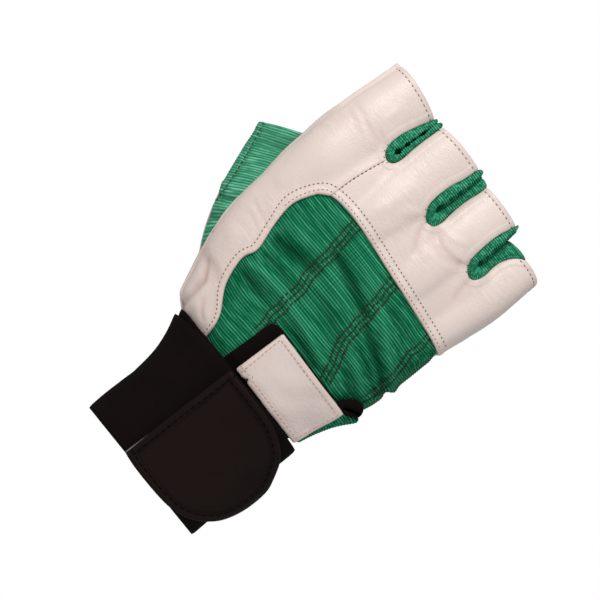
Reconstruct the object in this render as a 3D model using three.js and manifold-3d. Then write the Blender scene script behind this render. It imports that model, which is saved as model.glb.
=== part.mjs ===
import * as THREE from "three";
import { mergeVertices } from "three/addons/utils/BufferGeometryUtils.js";
import Module from "manifold-3d";

// Fingerless training glove for the right hand, in the form it has when worn.
// Millimetres. +Z runs from the wrist to the fingers, the back of the hand faces -Y,
// the little finger is on the +X side and the thumb on the -X side.
// The origin is the middle of the wrist opening.

// Cloth and leather
const WALL = 1.8;            // leather or doubled cloth wall
const GAP = 0.3;             // clearance between neighbouring pieces
const SKIM = 0.05;           // how far a cutting shape stands out of the face it takes in
const WELD = 1e-5;           // corners closer than this are one corner
const PALM_SEGMENTS = 28;    // sides of the hand's sections
const TUBE_SEGMENTS = 14;    // sides of a finger's or the thumb's sections
const TUBE_SQUARE = 2.3;     // squareness of a finger's or the thumb's sections
const SECTION_STEPS = 2;     // sections made for each row of a table
const LINE_STEPS = 3;        // points made for each corner of a seam's line
const GUSSET_SIDES = 8;      // sides of a gusset's round end
const PAST_EDGE = 4;         // how far the hollow inside runs on past the glove's openings
const FAR = 120;             // reach of the cutting shapes beyond the glove

// Wrist wrap
const WRAP_HEIGHT = 52.2;    // width of the elastic, along the arm
const WRAP_BOTTOM = -0.7;
const WRAP_FLARE_TOP = 52;   // the wrist's own widening starts above this height
const WRAP_THICK = 1.5;
const WRAP_PITCH = WRAP_THICK + GAP;
const WRAP_CLEAR = 0.6;      // its clearance to the glove inside it
const WRAP_TURNS = 1.66;
const WRAP_START = 0.78 * Math.PI;
const WRAP_STEPS = 52;
const WRAP_LEVELS = 5;

// Sections of the hand, the outer face of the glove, from the wrist edge to the webs.
// radial and ulnar are the two sides' X, back and palm are the faces' Y in the middle,
// tilt is the drop towards the little finger, square is the section's squareness and tip
// the section's rise towards the back.
const HAND = [
  { z: 22, radial: -29.8, ulnar: 27.2, back: -16.8, palm: 16.8, tilt: 0.02, square: 2.1, tip: 0.1 },
  { z: 38, radial: -31.4, ulnar: 26.6, back: -16.6, palm: 16.8, tilt: 0.02, square: 2.1, tip: 0.1 },
  { z: 52, radial: -37.0, ulnar: 25.8, back: -16.6, palm: 17.0, tilt: 0.02, square: 2.1, tip: 0.1 },
  { z: 55.5, radial: -42.9, ulnar: 26.2, back: -18.0, palm: 18.6, tilt: 0.03, square: 2.2, tip: 0.1 },
  { z: 62, radial: -46.6, ulnar: 27.6, back: -18.8, palm: 19.8, tilt: 0.04, square: 2.2, tip: 0.08 },
  { z: 71, radial: -50.8, ulnar: 30.6, back: -19.4, palm: 20.4, tilt: 0.05, square: 2.3, tip: 0.05 },
  { z: 82, radial: -55.2, ulnar: 35.4, back: -19.8, palm: 19.8, tilt: 0.06, square: 2.4, tip: 0.02 },
  { z: 96, radial: -58.6, ulnar: 36.9, back: -19.6, palm: 17.6, tilt: 0.07, square: 2.5, tip: 0 },
  { z: 112, radial: -60.4, ulnar: 37.2, back: -18.8, palm: 14.6, tilt: 0.08, square: 2.6, tip: 0 },
  { z: 126, radial: -61.6, ulnar: 37.8, back: -17.4, palm: 11.8, tilt: 0.09, square: 2.6, tip: 0 },
  { z: 140, radial: -61.0, ulnar: 39.8, back: -14.4, palm: 10.8, tilt: 0.09, square: 2.6, tip: 0 },
  { z: 153.5, radial: -57.0, ulnar: 37.5, back: -10.0, palm: 9.4, tilt: 0.09, square: 2.6, tip: 0 },
];

// Fingers, each from inside the hand to its opening: the middle line, half the width
// (across) and half the depth (through) of each section, its bend to the palm and its
// lean to the thumb's side, in degrees.
const FINGERS = {
  index: [
    { x: -46.8, y: -6.2, z: 112, across: 12.0, through: 11.4, bend: 2, lean: 0 },
    { x: -47.6, y: -5.4, z: 130, across: 13.8, through: 13.0, bend: 8, lean: 0 },
    { x: -47.9, y: -2.2, z: 151, across: 14.0, through: 12.2, bend: 12, lean: -3 },
    { x: -47.0, y: 2.6, z: 175.2, across: 13.5, through: 11.6, bend: 14, lean: -7 },
  ],
  middle: [
    { x: -19.4, y: -6.8, z: 110, across: 11.0, through: 11.4, bend: 2, lean: 0 },
    { x: -19.3, y: -6.2, z: 130, across: 13.4, through: 13.0, bend: 8, lean: 0 },
    { x: -19.3, y: -2.6, z: 151, across: 13.9, through: 12.2, bend: 12, lean: 0 },
    { x: -18.9, y: 2.4, z: 173.9, across: 13.4, through: 11.6, bend: 14, lean: 1 },
  ],
  ring: [
    { x: 7.2, y: -4.2, z: 110, across: 10.6, through: 11.0, bend: 2, lean: 0 },
    { x: 7.4, y: -3.8, z: 128, across: 12.0, through: 12.4, bend: 8, lean: 0 },
    { x: 7.6, y: 0.0, z: 149, across: 12.3, through: 11.7, bend: 13, lean: 0 },
    { x: 8.2, y: 5.2, z: 172.4, across: 12.4, through: 11.0, bend: 15, lean: 1 },
  ],
  little: [
    { x: 27.6, y: -0.8, z: 108, across: 8.4, through: 9.6, bend: 2, lean: 0 },
    { x: 29.2, y: 0.4, z: 126, across: 9.8, through: 10.8, bend: 8, lean: 0 },
    { x: 30.8, y: 4.2, z: 147, across: 10.3, through: 9.9, bend: 14, lean: 0 },
    { x: 31.0, y: 9.2, z: 167.2, across: 9.9, through: 9.2, bend: 17, lean: 1 },
  ],
};

// Thumb: as a finger, leaning away from the hand.
const THUMB = [
  { x: -24.0, y: 8.0, z: 59, across: 14.0, through: 11.0, bend: 0, lean: 36 },
  { x: -36.4, y: 11.6, z: 75, across: 15.6, through: 13.0, bend: 0, lean: 36 },
  { x: -48.6, y: 15.0, z: 89, across: 14.6, through: 13.2, bend: 0, lean: 32 },
  { x: -57.2, y: 18.0, z: 102, across: 13.1, through: 12.4, bend: 0, lean: 28 },
  { x: -63.2, y: 20.2, z: 115, across: 12.4, through: 11.7, bend: 0, lean: 29 },
  { x: -69.0, y: 23.0, z: 129.4, across: 11.8, through: 11.4, bend: 0, lean: 34 },
];

// Seam between the back and the palm: its Y at the radial and the ulnar side.
const SIDE_SEAM = [
  { z: 0, radial: -1, ulnar: 4 },
  { z: 50, radial: -1, ulnar: 4 },
  { z: 80, radial: 1, ulnar: 5 },
  { z: 110, radial: 0, ulnar: 5 },
  { z: 130, radial: -2, ulnar: 5 },
  { z: 150, radial: 0, ulnar: 8 },
  { z: 180, radial: 7, ulnar: 16 },
];
const SEAM_SIDES = { radial: -60, ulnar: 38 };

// Outlines seen from the back of the hand, as X and Z.
const PANEL_RADIAL_EDGE = [
  { x: -24.0, z: 50 }, { x: -27.0, z: 61.6 }, { x: -35.2, z: 71.6 }, { x: -39.2, z: 82.8 },
  { x: -38.0, z: 90 }, { x: -41.5, z: 101 }, { x: -43.2, z: 111.6 }, { x: -40.2, z: 121.1 },
];
const PANEL_DISTAL_EDGE = [
  { x: -35.5, z: 124.9 }, { x: -22.7, z: 125.9 }, { x: 1.6, z: 123.4 }, { x: 28.6, z: 120.4 },
  { x: 37.0, z: 118.8 },
];
const KNUCKLE_SEAM = [{ x: -36.4, z: 124.6 }, { x: -36.0, z: 136 }, { x: -33.6, z: 152 }];
const PANEL_AT_WRIST = { x: -24, z: 0 };    // the panel's radial edge runs on down to here
const PANEL_AT_SIDE = { x: FAR, z: 112 };   // its distal edge runs on round the side to here
const KNUCKLE_SEAM_END = { x: -33.2, z: 190 };

// Gussets between the fingers, seen from the back of the hand: the slit's two ends
// and the half width of the knitted lips at each end.
const GUSSETS = {
  gusset_index_middle: { webX: -33.8, webZ: 153.8, tipX: -32.4, web: 3.6, tip: 3.2 },
  gusset_middle_ring: { webX: -5.2, webZ: 152.2, tipX: -4.2, web: 4.0, tip: 4.1 },
  gusset_ring_little: { webX: 21.2, webZ: 150.6, tipX: 25.8, web: 4.0, tip: 7.8 },
};
const GUSSET_TIP_Z = 192;    // height of the slits' far ends, past the openings

// The thumb's cloth meets the leather of the palm along this line, seen from the back.
const THUMB_SEAM = [
  { x: -45.0, z: 63 }, { x: -48.5, z: 80 }, { x: -51.0, z: 96 }, { x: -51.0, z: 112 },
  { x: -48.0, z: 140 },
];
const THUMB_PALM_SIDE = [{ z: 60, y: 14 }, { z: 90, y: 20 }, { z: 140, y: 30 }];

// Closing strap, its patch, and the flap of the wrap, seen from the back of the hand.
const CLOSURE_SPAN = { from: 51, to: 86, step: 3.5 };
const TAPE_THICK = 1.2;
const TAPE_OUTLINE = [
  { x: -14.9, z: 54.2 }, { x: 26, z: 53.8 }, { x: FAR, z: 53.4 }, { x: FAR, z: 84 }, { x: 34, z: 84 },
  { x: 29.5, z: 81.2 }, { x: 26.0, z: 77.6 }, { x: -7.0, z: 77.7 }, { x: -11.5, z: 76.5 },
];
const TAB_THICK = 1.2;
const TAB_OUTLINE = [
  { x: -7.4, z: 54.6 }, { x: 26, z: 54.2 }, { x: FAR, z: 54.5 }, { x: FAR, z: 77.8 },
  { x: 37.6, z: 77.6 }, { x: 32.0, z: 75.0 }, { x: 29.0, z: 75.2 }, { x: -6.6, z: 76.8 },
];
const PATCH_THICK = 1.4;
const PATCH_OUTLINE = [
  { x: -7.8, z: 54.3 }, { x: 29.2, z: 53.2 }, { x: 32.5, z: 75.5 }, { x: -6.9, z: 77.1 },
];
// Where the tab passes the little finger's side it stands off the hand, most at its upper
// edge: the rise, the share of it at the lower edge, the X and the heights that it grows
// between, and the depths that it fades between towards the palm.
const FOLD = { rise: 2.2, low: 0.75, fromX: 22, toX: 31, fromZ: 66, toZ: 78, fromY: -1, toY: 8 };
const TAPE_END_DEPTH = 3;    // the tape's end, past the little finger's side
const TAB_END_DEPTH = 9;     // the tab's end on the palm
const FLAP_OUTLINE = [
  { x: -9.8, z: 1.6 }, { x: 8, z: 0.8 }, { x: 22, z: 2.4 }, { x: 27.2, z: 4.9 },
  { x: 32.4, z: 9.7 }, { x: 35.7, z: 15.2 }, { x: 37.6, z: 23.1 }, { x: 37.4, z: 32.2 },
  { x: 35.1, z: 38 }, { x: 30.6, z: 45.4 }, { x: 25.3, z: 49.2 }, { x: 19, z: 51.6 },
  { x: 10.3, z: 52.6 }, { x: -8.8, z: 52.8 },
];
const FLAP_THICK = 2.0;
const FLAP_HEIGHT = 56;
const FLAP_ARC = { from: 1.42 * Math.PI, to: 1.98 * Math.PI, stand: 3.8 };
const FLAP_STEPS = 24;

const wasm = await Module();
wasm.setup();
const radians = THREE.MathUtils.degToRad;

// A closed mesh as a solid for joining and cutting.
function solid(geometry) {
  const bare = geometry.clone();
  bare.deleteAttribute("normal");
  bare.deleteAttribute("uv");
  const merged = mergeVertices(bare, WELD);
  return new wasm.Manifold(new wasm.Mesh({
    numProp: 3,
    vertProperties: new Float32Array(merged.attributes.position.array),
    triVerts: new Uint32Array(merged.index.array),
  }));
}

// The solid's faces as a geometry.
function geometryOf(body) {
  const mesh = body.getMesh();
  const geometry = new THREE.BufferGeometry();
  const positions = new Float32Array(mesh.vertProperties);
  geometry.setAttribute("position", new THREE.BufferAttribute(positions, 3));
  geometry.setIndex(new THREE.BufferAttribute(new Uint32Array(mesh.triVerts), 1));
  geometry.computeVertexNormals();
  return geometry;
}

// Rows between a table's rows, each column on one smooth curve.
function smoothRows(table, stepsPerSpan) {
  const rows = [];
  const at = (i) => table[Math.min(Math.max(i, 0), table.length - 1)];
  for (let i = 0; i < table.length - 1; i += 1) {
    for (let k = 0; k < stepsPerSpan; k += 1) {
      rows.push(blendRow(at(i - 1), at(i), at(i + 1), at(i + 2), k / stepsPerSpan));
    }
  }
  rows.push({ ...at(table.length - 1) });
  return rows;
}

function blendRow(before, from, to, after, t) {
  const row = {};
  for (const key of Object.keys(from)) {
    const rise = (to[key] - before[key]) / 2;
    const fall = (after[key] - from[key]) / 2;
    const a = 2 * (from[key] - to[key]) + rise + fall;
    const b = 3 * (to[key] - from[key]) - 2 * rise - fall;
    row[key] = ((a * t + b) * t + rise) * t + from[key];
  }
  return row;
}

// A table's value of one column at a height, straight between rows.
function valueAt(table, key, z) {
  let i = 0;
  while (i < table.length - 2 && table[i + 1].z < z) i += 1;
  const from = table[i];
  const to = table[i + 1];
  const t = THREE.MathUtils.clamp((z - from.z) / (to.z - from.z), 0, 1);
  return from[key] + (to[key] - from[key]) * t;
}

// A closed body through rings of points, with a flat fan at each end.
function loft(rings) {
  const count = rings[0].length;
  const vertices = rings.flat();
  const faces = [];
  for (let i = 0; i < rings.length - 1; i += 1) {
    for (let j = 0; j < count; j += 1) {
      const next = (j + 1) % count;
      const a = i * count + j;
      const b = i * count + next;
      faces.push(a, b, b + count, a, b + count, a + count);
    }
  }
  const last = (rings.length - 1) * count;
  const ends = [rings[0], rings[rings.length - 1]].map((ring) => {
    const middle = new THREE.Vector3();
    ring.forEach((point) => middle.addScaledVector(point, 1 / count));
    return vertices.push(middle) - 1;
  });
  for (let j = 0; j < count; j += 1) {
    const next = (j + 1) % count;
    faces.push(ends[0], next, j, ends[1], last + j, last + next);
  }
  const geometry = new THREE.BufferGeometry().setFromPoints(vertices);
  geometry.setIndex(faces);
  return geometry;
}

const squared = (value, square) => Math.sign(value) * Math.abs(value) ** (2 / square);

// A ring of the hand, moved out by grow, at its own height or another.
function handRing(row, grow, z = row.z) {
  const middle = (row.radial + row.ulnar) / 2;
  const half = (row.ulnar - row.radial) / 2 + grow;
  const ring = [];
  for (let j = 0; j < PALM_SEGMENTS; j += 1) {
    const angle = (2 * Math.PI * j) / PALM_SEGMENTS;
    const dx = half * squared(Math.cos(angle), row.square);
    const deep = Math.sin(angle) < 0 ? -row.back + grow : row.palm + grow;
    const dy = deep * squared(Math.sin(angle), row.square);
    ring.push(new THREE.Vector3(middle + dx, dy + row.tilt * dx, z - row.tip * dy));
  }
  return ring;
}

// The hand's outer form moved out by grow, and run on below the wrist edge by more.
function handBody(grow, more = 0) {
  const rows = smoothRows(HAND, SECTION_STEPS);
  const rings = rows.map((row) => handRing(row, grow));
  const top = rows[rows.length - 1];
  rings[rings.length - 1] = handRing(top, grow, top.z + grow);
  if (more > 0) rings.unshift(handRing(rows[0], grow, rows[0].z - more));
  return solid(loft(rings));
}

// A finger's or the thumb's form moved out by grow, and run on past its opening by more.
function tubeBody(table, grow, more = 0) {
  const rows = smoothRows(table, SECTION_STEPS);
  const rings = rows.map((row) => tubeRing(row, grow));
  if (more > 0) {
    const lastRow = rows[rows.length - 1];
    const onward = tubeAxes(lastRow).along.multiplyScalar(more);
    rings.push(tubeRing(lastRow, grow).map((point) => point.add(onward)));
  }
  return solid(loft(rings));
}

function tubeAxes(row) {
  const lean = radians(row.lean);
  const bend = radians(row.bend);
  const across = new THREE.Vector3(Math.cos(lean), 0, Math.sin(lean));
  const through = new THREE.Vector3(0, Math.cos(bend), -Math.sin(bend));
  return { across, through, along: across.clone().cross(through) };
}

function tubeRing(row, grow) {
  const axes = tubeAxes(row);
  const ring = [];
  for (let j = 0; j < TUBE_SEGMENTS; j += 1) {
    const angle = (2 * Math.PI * j) / TUBE_SEGMENTS;
    const aside = (row.across + grow) * squared(Math.cos(angle), TUBE_SQUARE);
    const deep = (row.through + grow) * squared(Math.sin(angle), TUBE_SQUARE);
    const point = new THREE.Vector3(row.x, row.y, row.z);
    ring.push(point.addScaledVector(axes.across, aside).addScaledVector(axes.through, deep));
  }
  return ring;
}

// The largest of a solid's separate bodies, which leaves out slivers of a cut.
function largest(body) {
  const bodies = body.decompose().sort((one, other) => other.volume() - one.volume());
  return bodies[0];
}

// An outline seen from the back of the hand, pushed through it between two depths.
function prism(outline, fromY = -FAR, toY = FAR) {
  const shape = new THREE.Shape(outline.map((p) => new THREE.Vector2(p.x, p.z)));
  const geometry = new THREE.ExtrudeGeometry(shape, { depth: toY - fromY, bevelEnabled: false });
  geometry.rotateX(Math.PI / 2);
  geometry.translate(0, toY, 0);
  return solid(geometry);
}

// A line seen from the back of the hand, as a strip of the gap's width, through the hand.
function seamCut(line, width = GAP) {
  const sides = line.map((point, i) => {
    const from = line[Math.max(i - 1, 0)];
    const to = line[Math.min(i + 1, line.length - 1)];
    const length = Math.hypot(to.x - from.x, to.z - from.z);
    const nx = (-(to.z - from.z) / length) * (width / 2);
    const nz = ((to.x - from.x) / length) * (width / 2);
    return [{ x: point.x + nx, z: point.z + nz }, { x: point.x - nx, z: point.z - nz }];
  });
  return prism([...sides.map((pair) => pair[0]), ...sides.map((pair) => pair[1]).reverse()]);
}

// Everything on the palm side of the side seam, moved to the palm by shift.
function palmSide(shift) {
  const rings = SIDE_SEAM.map((row) => {
    const slope = (row.ulnar - row.radial) / (SEAM_SIDES.ulnar - SEAM_SIDES.radial);
    const seamY = (x) => row.radial + slope * (x - SEAM_SIDES.radial) + shift;
    return [
      new THREE.Vector3(-FAR, seamY(-FAR), row.z), new THREE.Vector3(FAR, seamY(FAR), row.z),
      new THREE.Vector3(FAR, FAR, row.z), new THREE.Vector3(-FAR, FAR, row.z),
    ];
  });
  return solid(loft(rings));
}

// The knitted lips of one gusset: a long outline with a round end at the web.
function gussetOutline(g, grow) {
  const lean = Math.atan2(g.tipX - g.webX, GUSSET_TIP_Z - g.webZ);
  const outline = [];
  for (let k = 0; k <= GUSSET_SIDES; k += 1) {
    const angle = Math.PI + (Math.PI * k) / GUSSET_SIDES - lean;
    const radius = g.web + grow;
    outline.push({ x: g.webX + radius * Math.cos(angle), z: g.webZ + radius * Math.sin(angle) });
  }
  outline.push({ x: g.tipX + g.tip + grow, z: GUSSET_TIP_Z });
  outline.push({ x: g.tipX - g.tip - grow, z: GUSSET_TIP_Z });
  return outline;
}

// The thumb's cloth is the part of its tube between the seam and this zone's palm side.
function thumbZone(grow) {
  const rings = THUMB_PALM_SIDE.map((row) => [
    new THREE.Vector3(-FAR, -FAR, row.z), new THREE.Vector3(FAR, -FAR, row.z),
    new THREE.Vector3(FAR, row.y + grow, row.z), new THREE.Vector3(-FAR, row.y + grow, row.z),
  ]);
  const seam = smoothRows(THUMB_SEAM, LINE_STEPS);
  const outline = seam.map((p) => ({ x: p.x + grow, z: p.z - grow }));
  const first = outline[0];
  const last = outline[outline.length - 1];
  const area = prism([
    ...outline, { x: -FAR, z: last.z }, { x: -FAR, z: first.z },
  ].reverse());
  const tube = tubeBody(THUMB, grow + SKIM, 1);
  return solid(loft(rings)).intersect(area).intersect(tube);
}

// The glove's wall: the outer form less the hollow inside it.
function gloveWall() {
  const tubes = [...Object.values(FINGERS), THUMB];
  const outer = tubes.reduce((body, table) => body.add(tubeBody(table, 0)), handBody(0));
  const hollow = tubes.reduce(
    (body, table) => body.add(tubeBody(table, -WALL, PAST_EDGE)), handBody(-WALL, PAST_EDGE),
  );
  return outer.subtract(hollow);
}

function union(bodies) {
  return bodies.reduce((sum, body) => sum.add(body));
}

function glovePieces() {
  const wall = gloveWall();
  const gussets = Object.entries(GUSSETS);
  const slots = union(gussets.map(([, g]) => prism(gussetOutline(g, GAP))));
  const backWall = wall.subtract(palmSide(-GAP / 2)).subtract(slots);
  const palmWall = wall.intersect(palmSide(GAP / 2)).subtract(slots);

  const radialEdge = smoothRows(PANEL_RADIAL_EDGE, LINE_STEPS);
  const distalEdge = smoothRows(PANEL_DISTAL_EDGE, LINE_STEPS);
  const panelEdge = [PANEL_AT_WRIST, ...radialEdge, ...distalEdge, PANEL_AT_SIDE];
  const knuckleSeam = smoothRows(KNUCKLE_SEAM, LINE_STEPS);
  const cutWall = backWall.subtract(seamCut(panelEdge).add(seamCut(knuckleSeam)));

  const panelArea = prism([...panelEdge, { x: FAR, z: 0 }].reverse());
  const indexArea = prism([
    PANEL_AT_WRIST, ...radialEdge, ...knuckleSeam, KNUCKLE_SEAM_END,
    { x: -FAR, z: KNUCKLE_SEAM_END.z }, { x: -FAR, z: 0 },
  ]);
  const leather = cutWall.subtract(panelArea);
  const thumbArea = thumbZone(0);

  const pieces = {
    palm_leather: palmWall.subtract(thumbZone(GAP)),
    index_leather: leather.intersect(indexArea),
    knuckle_leather: leather.subtract(indexArea),
    back_panel: cutWall.intersect(panelArea),
    thumb_sleeve: palmWall.intersect(thumbArea),
  };
  for (const [name, g] of gussets) pieces[name] = wall.intersect(prism(gussetOutline(g, 0)));
  return pieces;
}

// Elastic wound round the wrist: a strip that starts on the palm, passes the thumb side
// twice and ends at the flap's base on the back.
function wristWrap() {
  const inner = [];
  const outer = [];
  for (let k = 0; k <= WRAP_STEPS; k += 1) {
    const turn = (WRAP_TURNS * k) / WRAP_STEPS;
    const angle = WRAP_START + 2 * Math.PI * turn;
    const grow = WRAP_CLEAR + WRAP_PITCH * turn;
    inner.push(wristPoint(angle, grow));
    outer.push(wristPoint(angle, grow + WRAP_THICK));
  }
  const shape = new THREE.Shape([...inner, ...outer.reverse()]);
  return flare(new THREE.ExtrudeGeometry(shape, {
    depth: WRAP_HEIGHT, steps: WRAP_LEVELS, bevelEnabled: false,
  }));
}

// The wrist's section, at its lower edge, moved out by grow.
function wristPoint(angle, grow) {
  const wrist = HAND[0];
  const middle = (wrist.radial + wrist.ulnar) / 2;
  const half = (wrist.ulnar - wrist.radial) / 2 + grow;
  const dx = half * squared(Math.cos(angle), wrist.square);
  const dy = (wrist.palm + grow) * squared(Math.sin(angle), wrist.square);
  return new THREE.Vector2(middle + dx, dy + wrist.tilt * dx);
}

// The wrap's height over the arm, and its widening with the wrist towards the thumb.
function flare(geometry) {
  const wrist = HAND[0];
  const position = geometry.attributes.position;
  for (let i = 0; i < position.count; i += 1) {
    const x = position.getX(i);
    const z = Math.min(position.getZ(i) + WRAP_BOTTOM, WRAP_FLARE_TOP);
    const widening = valueAt(HAND, "radial", z) / wrist.radial;
    position.setX(i, x < 0 ? x * widening : x);
    position.setZ(i, position.getZ(i) + WRAP_BOTTOM - wrist.tip * position.getY(i));
  }
  return geometry;
}

// The flap's curved sheet over the wrap's end, cut to its outline.
function closureFlap() {
  const lowest = WRAP_CLEAR + WRAP_PITCH * WRAP_TURNS + WRAP_THICK + GAP;
  const inner = [];
  const outer = [];
  for (let k = 0; k <= FLAP_STEPS; k += 1) {
    const t = k / FLAP_STEPS;
    const angle = FLAP_ARC.from + (FLAP_ARC.to - FLAP_ARC.from) * t;
    const lift = FLAP_ARC.stand * t * t;
    inner.push(wristPoint(angle, lowest + lift));
    outer.push(wristPoint(angle, lowest + lift + FLAP_THICK));
  }
  const shape = new THREE.Shape([...inner, ...outer.reverse()]);
  const sheet = new THREE.ExtrudeGeometry(shape, { depth: FLAP_HEIGHT, bevelEnabled: false });
  const outline = prism(smoothRows(FLAP_OUTLINE, SECTION_STEPS));
  return geometryOf(largest(solid(sheet).intersect(outline)));
}

// A sheet of the closing tab: it follows the hand between two offsets, cut to an outline
// and ended at a depth past the little finger's side.
function closureSheet(from, to, outline, endDepth) {
  const sheet = closureBody(to).subtract(closureBody(from, 1));
  return geometryOf(largest(sheet.intersect(prism(outline, -FAR, endDepth))));
}

function closureBody(grow, more = 0) {
  const rings = [];
  for (let z = CLOSURE_SPAN.from - more; z <= CLOSURE_SPAN.to + more; z += CLOSURE_SPAN.step) {
    const row = {};
    for (const key of Object.keys(HAND[0])) row[key] = valueAt(HAND, key, z);
    const high = THREE.MathUtils.smoothstep(z, FOLD.fromZ, FOLD.toZ);
    const rise = FOLD.rise * (FOLD.low + (1 - FOLD.low) * high);
    rings.push(handRing(row, grow).map((point) => {
      const side = THREE.MathUtils.smoothstep(point.x, FOLD.fromX, FOLD.toX);
      const palm = THREE.MathUtils.smoothstep(point.y, FOLD.fromY, FOLD.toY);
      point.x += rise * side * (1 - palm);
      return point;
    }));
  }
  return solid(loft(rings));
}

const LEATHER = { color: 0xe2d4cc, roughness: 0.6, metalness: 0 };
const CLOTH = { color: 0x157a4b, roughness: 0.85, metalness: 0 };
const ELASTIC = { color: 0x120d0d, roughness: 0.9, metalness: 0 };
const COATED = { color: 0x1e1616, roughness: 0.55, metalness: 0 };

const glove = new THREE.Group();

function addPiece(name, geometry, finish) {
  const mesh = new THREE.Mesh(geometry, new THREE.MeshStandardMaterial(finish));
  mesh.name = name;
  glove.add(mesh);
}

const LEATHER_PIECES = ["palm_leather", "index_leather", "knuckle_leather"];
for (const [name, body] of Object.entries(glovePieces())) {
  addPiece(name, geometryOf(largest(body)), LEATHER_PIECES.includes(name) ? LEATHER : CLOTH);
}
addPiece("wrist_wrap", wristWrap(), ELASTIC);
addPiece("closure_flap", closureFlap(), COATED);

const tapeOut = GAP + TAPE_THICK;
const tabOut = tapeOut + GAP + TAB_THICK;
const patchOut = tabOut + GAP + PATCH_THICK;
addPiece("hook_tape", closureSheet(GAP, tapeOut, TAPE_OUTLINE, TAPE_END_DEPTH), ELASTIC);
addPiece("closure_tab", closureSheet(tapeOut + GAP, tabOut, TAB_OUTLINE, TAB_END_DEPTH), CLOTH);
addPiece("tab_patch", closureSheet(tabOut + GAP, patchOut, PATCH_OUTLINE, 0), LEATHER);

export default glove;
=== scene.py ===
"""A fingerless training glove for the right hand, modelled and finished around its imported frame.

Lengths are millimetres while a piece is modelled and metres in the finished meshes.
+Z runs to the fingers, the back of the hand faces -Y and the little finger is on the +X side.
"""

import math
from collections import namedtuple
from functools import partial

import bmesh
import bpy
import numpy as np
from bpy.props import FloatProperty, FloatVectorProperty, PointerProperty
from mathutils import Matrix, Vector, noise
from mathutils.bvhtree import BVHTree


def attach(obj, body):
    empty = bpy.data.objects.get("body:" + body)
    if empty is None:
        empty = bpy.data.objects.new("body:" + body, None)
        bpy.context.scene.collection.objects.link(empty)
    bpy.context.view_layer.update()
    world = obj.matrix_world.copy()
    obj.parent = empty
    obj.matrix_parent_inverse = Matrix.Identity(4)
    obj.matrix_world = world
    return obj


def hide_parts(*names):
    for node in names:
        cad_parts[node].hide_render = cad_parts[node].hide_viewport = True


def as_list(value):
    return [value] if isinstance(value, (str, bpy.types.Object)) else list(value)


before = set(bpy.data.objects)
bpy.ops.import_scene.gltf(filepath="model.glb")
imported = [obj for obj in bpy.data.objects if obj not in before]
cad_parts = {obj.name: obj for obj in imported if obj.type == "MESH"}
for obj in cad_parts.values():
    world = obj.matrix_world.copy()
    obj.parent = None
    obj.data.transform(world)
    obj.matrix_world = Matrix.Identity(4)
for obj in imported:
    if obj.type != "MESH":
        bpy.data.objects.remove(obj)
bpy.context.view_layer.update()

bl_info = {
    "name": "Fingerless Training Glove",
    "version": (1, 0, 0),
    "blender": (4, 5, 0),
    "location": "3D View > Sidebar > Glove",
    "description": "Builds a worn glove of leather and ribbed cloth with a wrist wrap",
    "category": "Object",
}

MM = 0.001
FAR = 120.0

# Sections of the hand, the outer face of the glove, from the wrist edge to the webs
Section = namedtuple("Section", "z radial ulnar back palm tilt square tip")
HAND = [
    Section(22.0, -28.2, 27.2, -16.8, 16.8, 0.02, 2.1, 0.1),
    Section(38.0, -30.2, 26.6, -16.6, 16.8, 0.02, 2.1, 0.1),
    Section(52.0, -36.8, 25.8, -16.6, 17.0, 0.02, 2.1, 0.1),
    Section(55.5, -42.9, 26.2, -18.0, 18.6, 0.03, 2.2, 0.1),
    Section(62.0, -46.6, 27.6, -18.8, 19.8, 0.04, 2.2, 0.08),
    Section(71.0, -50.8, 30.6, -19.4, 20.4, 0.05, 2.3, 0.05),
    Section(82.0, -55.2, 35.4, -19.8, 19.8, 0.06, 2.4, 0.02),
    Section(96.0, -58.6, 36.9, -19.6, 17.6, 0.07, 2.5, 0.0),
    Section(112.0, -60.4, 37.2, -18.8, 14.6, 0.08, 2.6, 0.0),
    Section(126.0, -61.6, 37.8, -17.4, 11.8, 0.09, 2.6, 0.0),
    Section(140.0, -61.0, 39.8, -14.4, 10.8, 0.09, 2.6, 0.0),
    Section(153.5, -57.0, 37.5, -10.0, 9.4, 0.09, 2.6, 0.0),
]

# Fingers and thumb, from inside the hand to their openings
Tube = namedtuple("Tube", "x y z across through bend lean")
INDEX = [
    Tube(-46.8, -6.2, 112.0, 12.0, 11.4, 2, 0),
    Tube(-47.6, -5.4, 130.0, 13.8, 13.0, 8, 0),
    Tube(-47.9, -2.2, 151.0, 14.0, 12.2, 12, -3),
    Tube(-47.0, 2.6, 175.2, 13.5, 11.6, 14, -7),
]
MIDDLE = [
    Tube(-19.4, -6.8, 110.0, 11.0, 11.4, 2, 0),
    Tube(-19.3, -6.2, 130.0, 13.4, 13.0, 8, 0),
    Tube(-19.3, -2.6, 151.0, 13.9, 12.2, 12, 0),
    Tube(-18.9, 2.4, 173.9, 13.4, 11.6, 14, 1),
]
RING = [
    Tube(7.2, -4.2, 110.0, 10.6, 11.0, 2, 0),
    Tube(7.4, -3.8, 128.0, 12.0, 12.4, 8, 0),
    Tube(7.6, 0.0, 149.0, 12.3, 11.7, 13, 0),
    Tube(8.2, 5.2, 172.0, 12.4, 11.0, 15, -2),
]
LITTLE = [
    Tube(27.6, -0.8, 108.0, 8.4, 9.6, 2, 0),
    Tube(29.2, 0.4, 126.0, 9.8, 10.8, 8, 0),
    Tube(30.8, 4.2, 147.0, 10.3, 9.9, 14, 0),
    Tube(31.0, 8.8, 166.0, 9.9, 9.2, 17, 1),
]
FINGERS = [INDEX, MIDDLE, RING, LITTLE]
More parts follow.
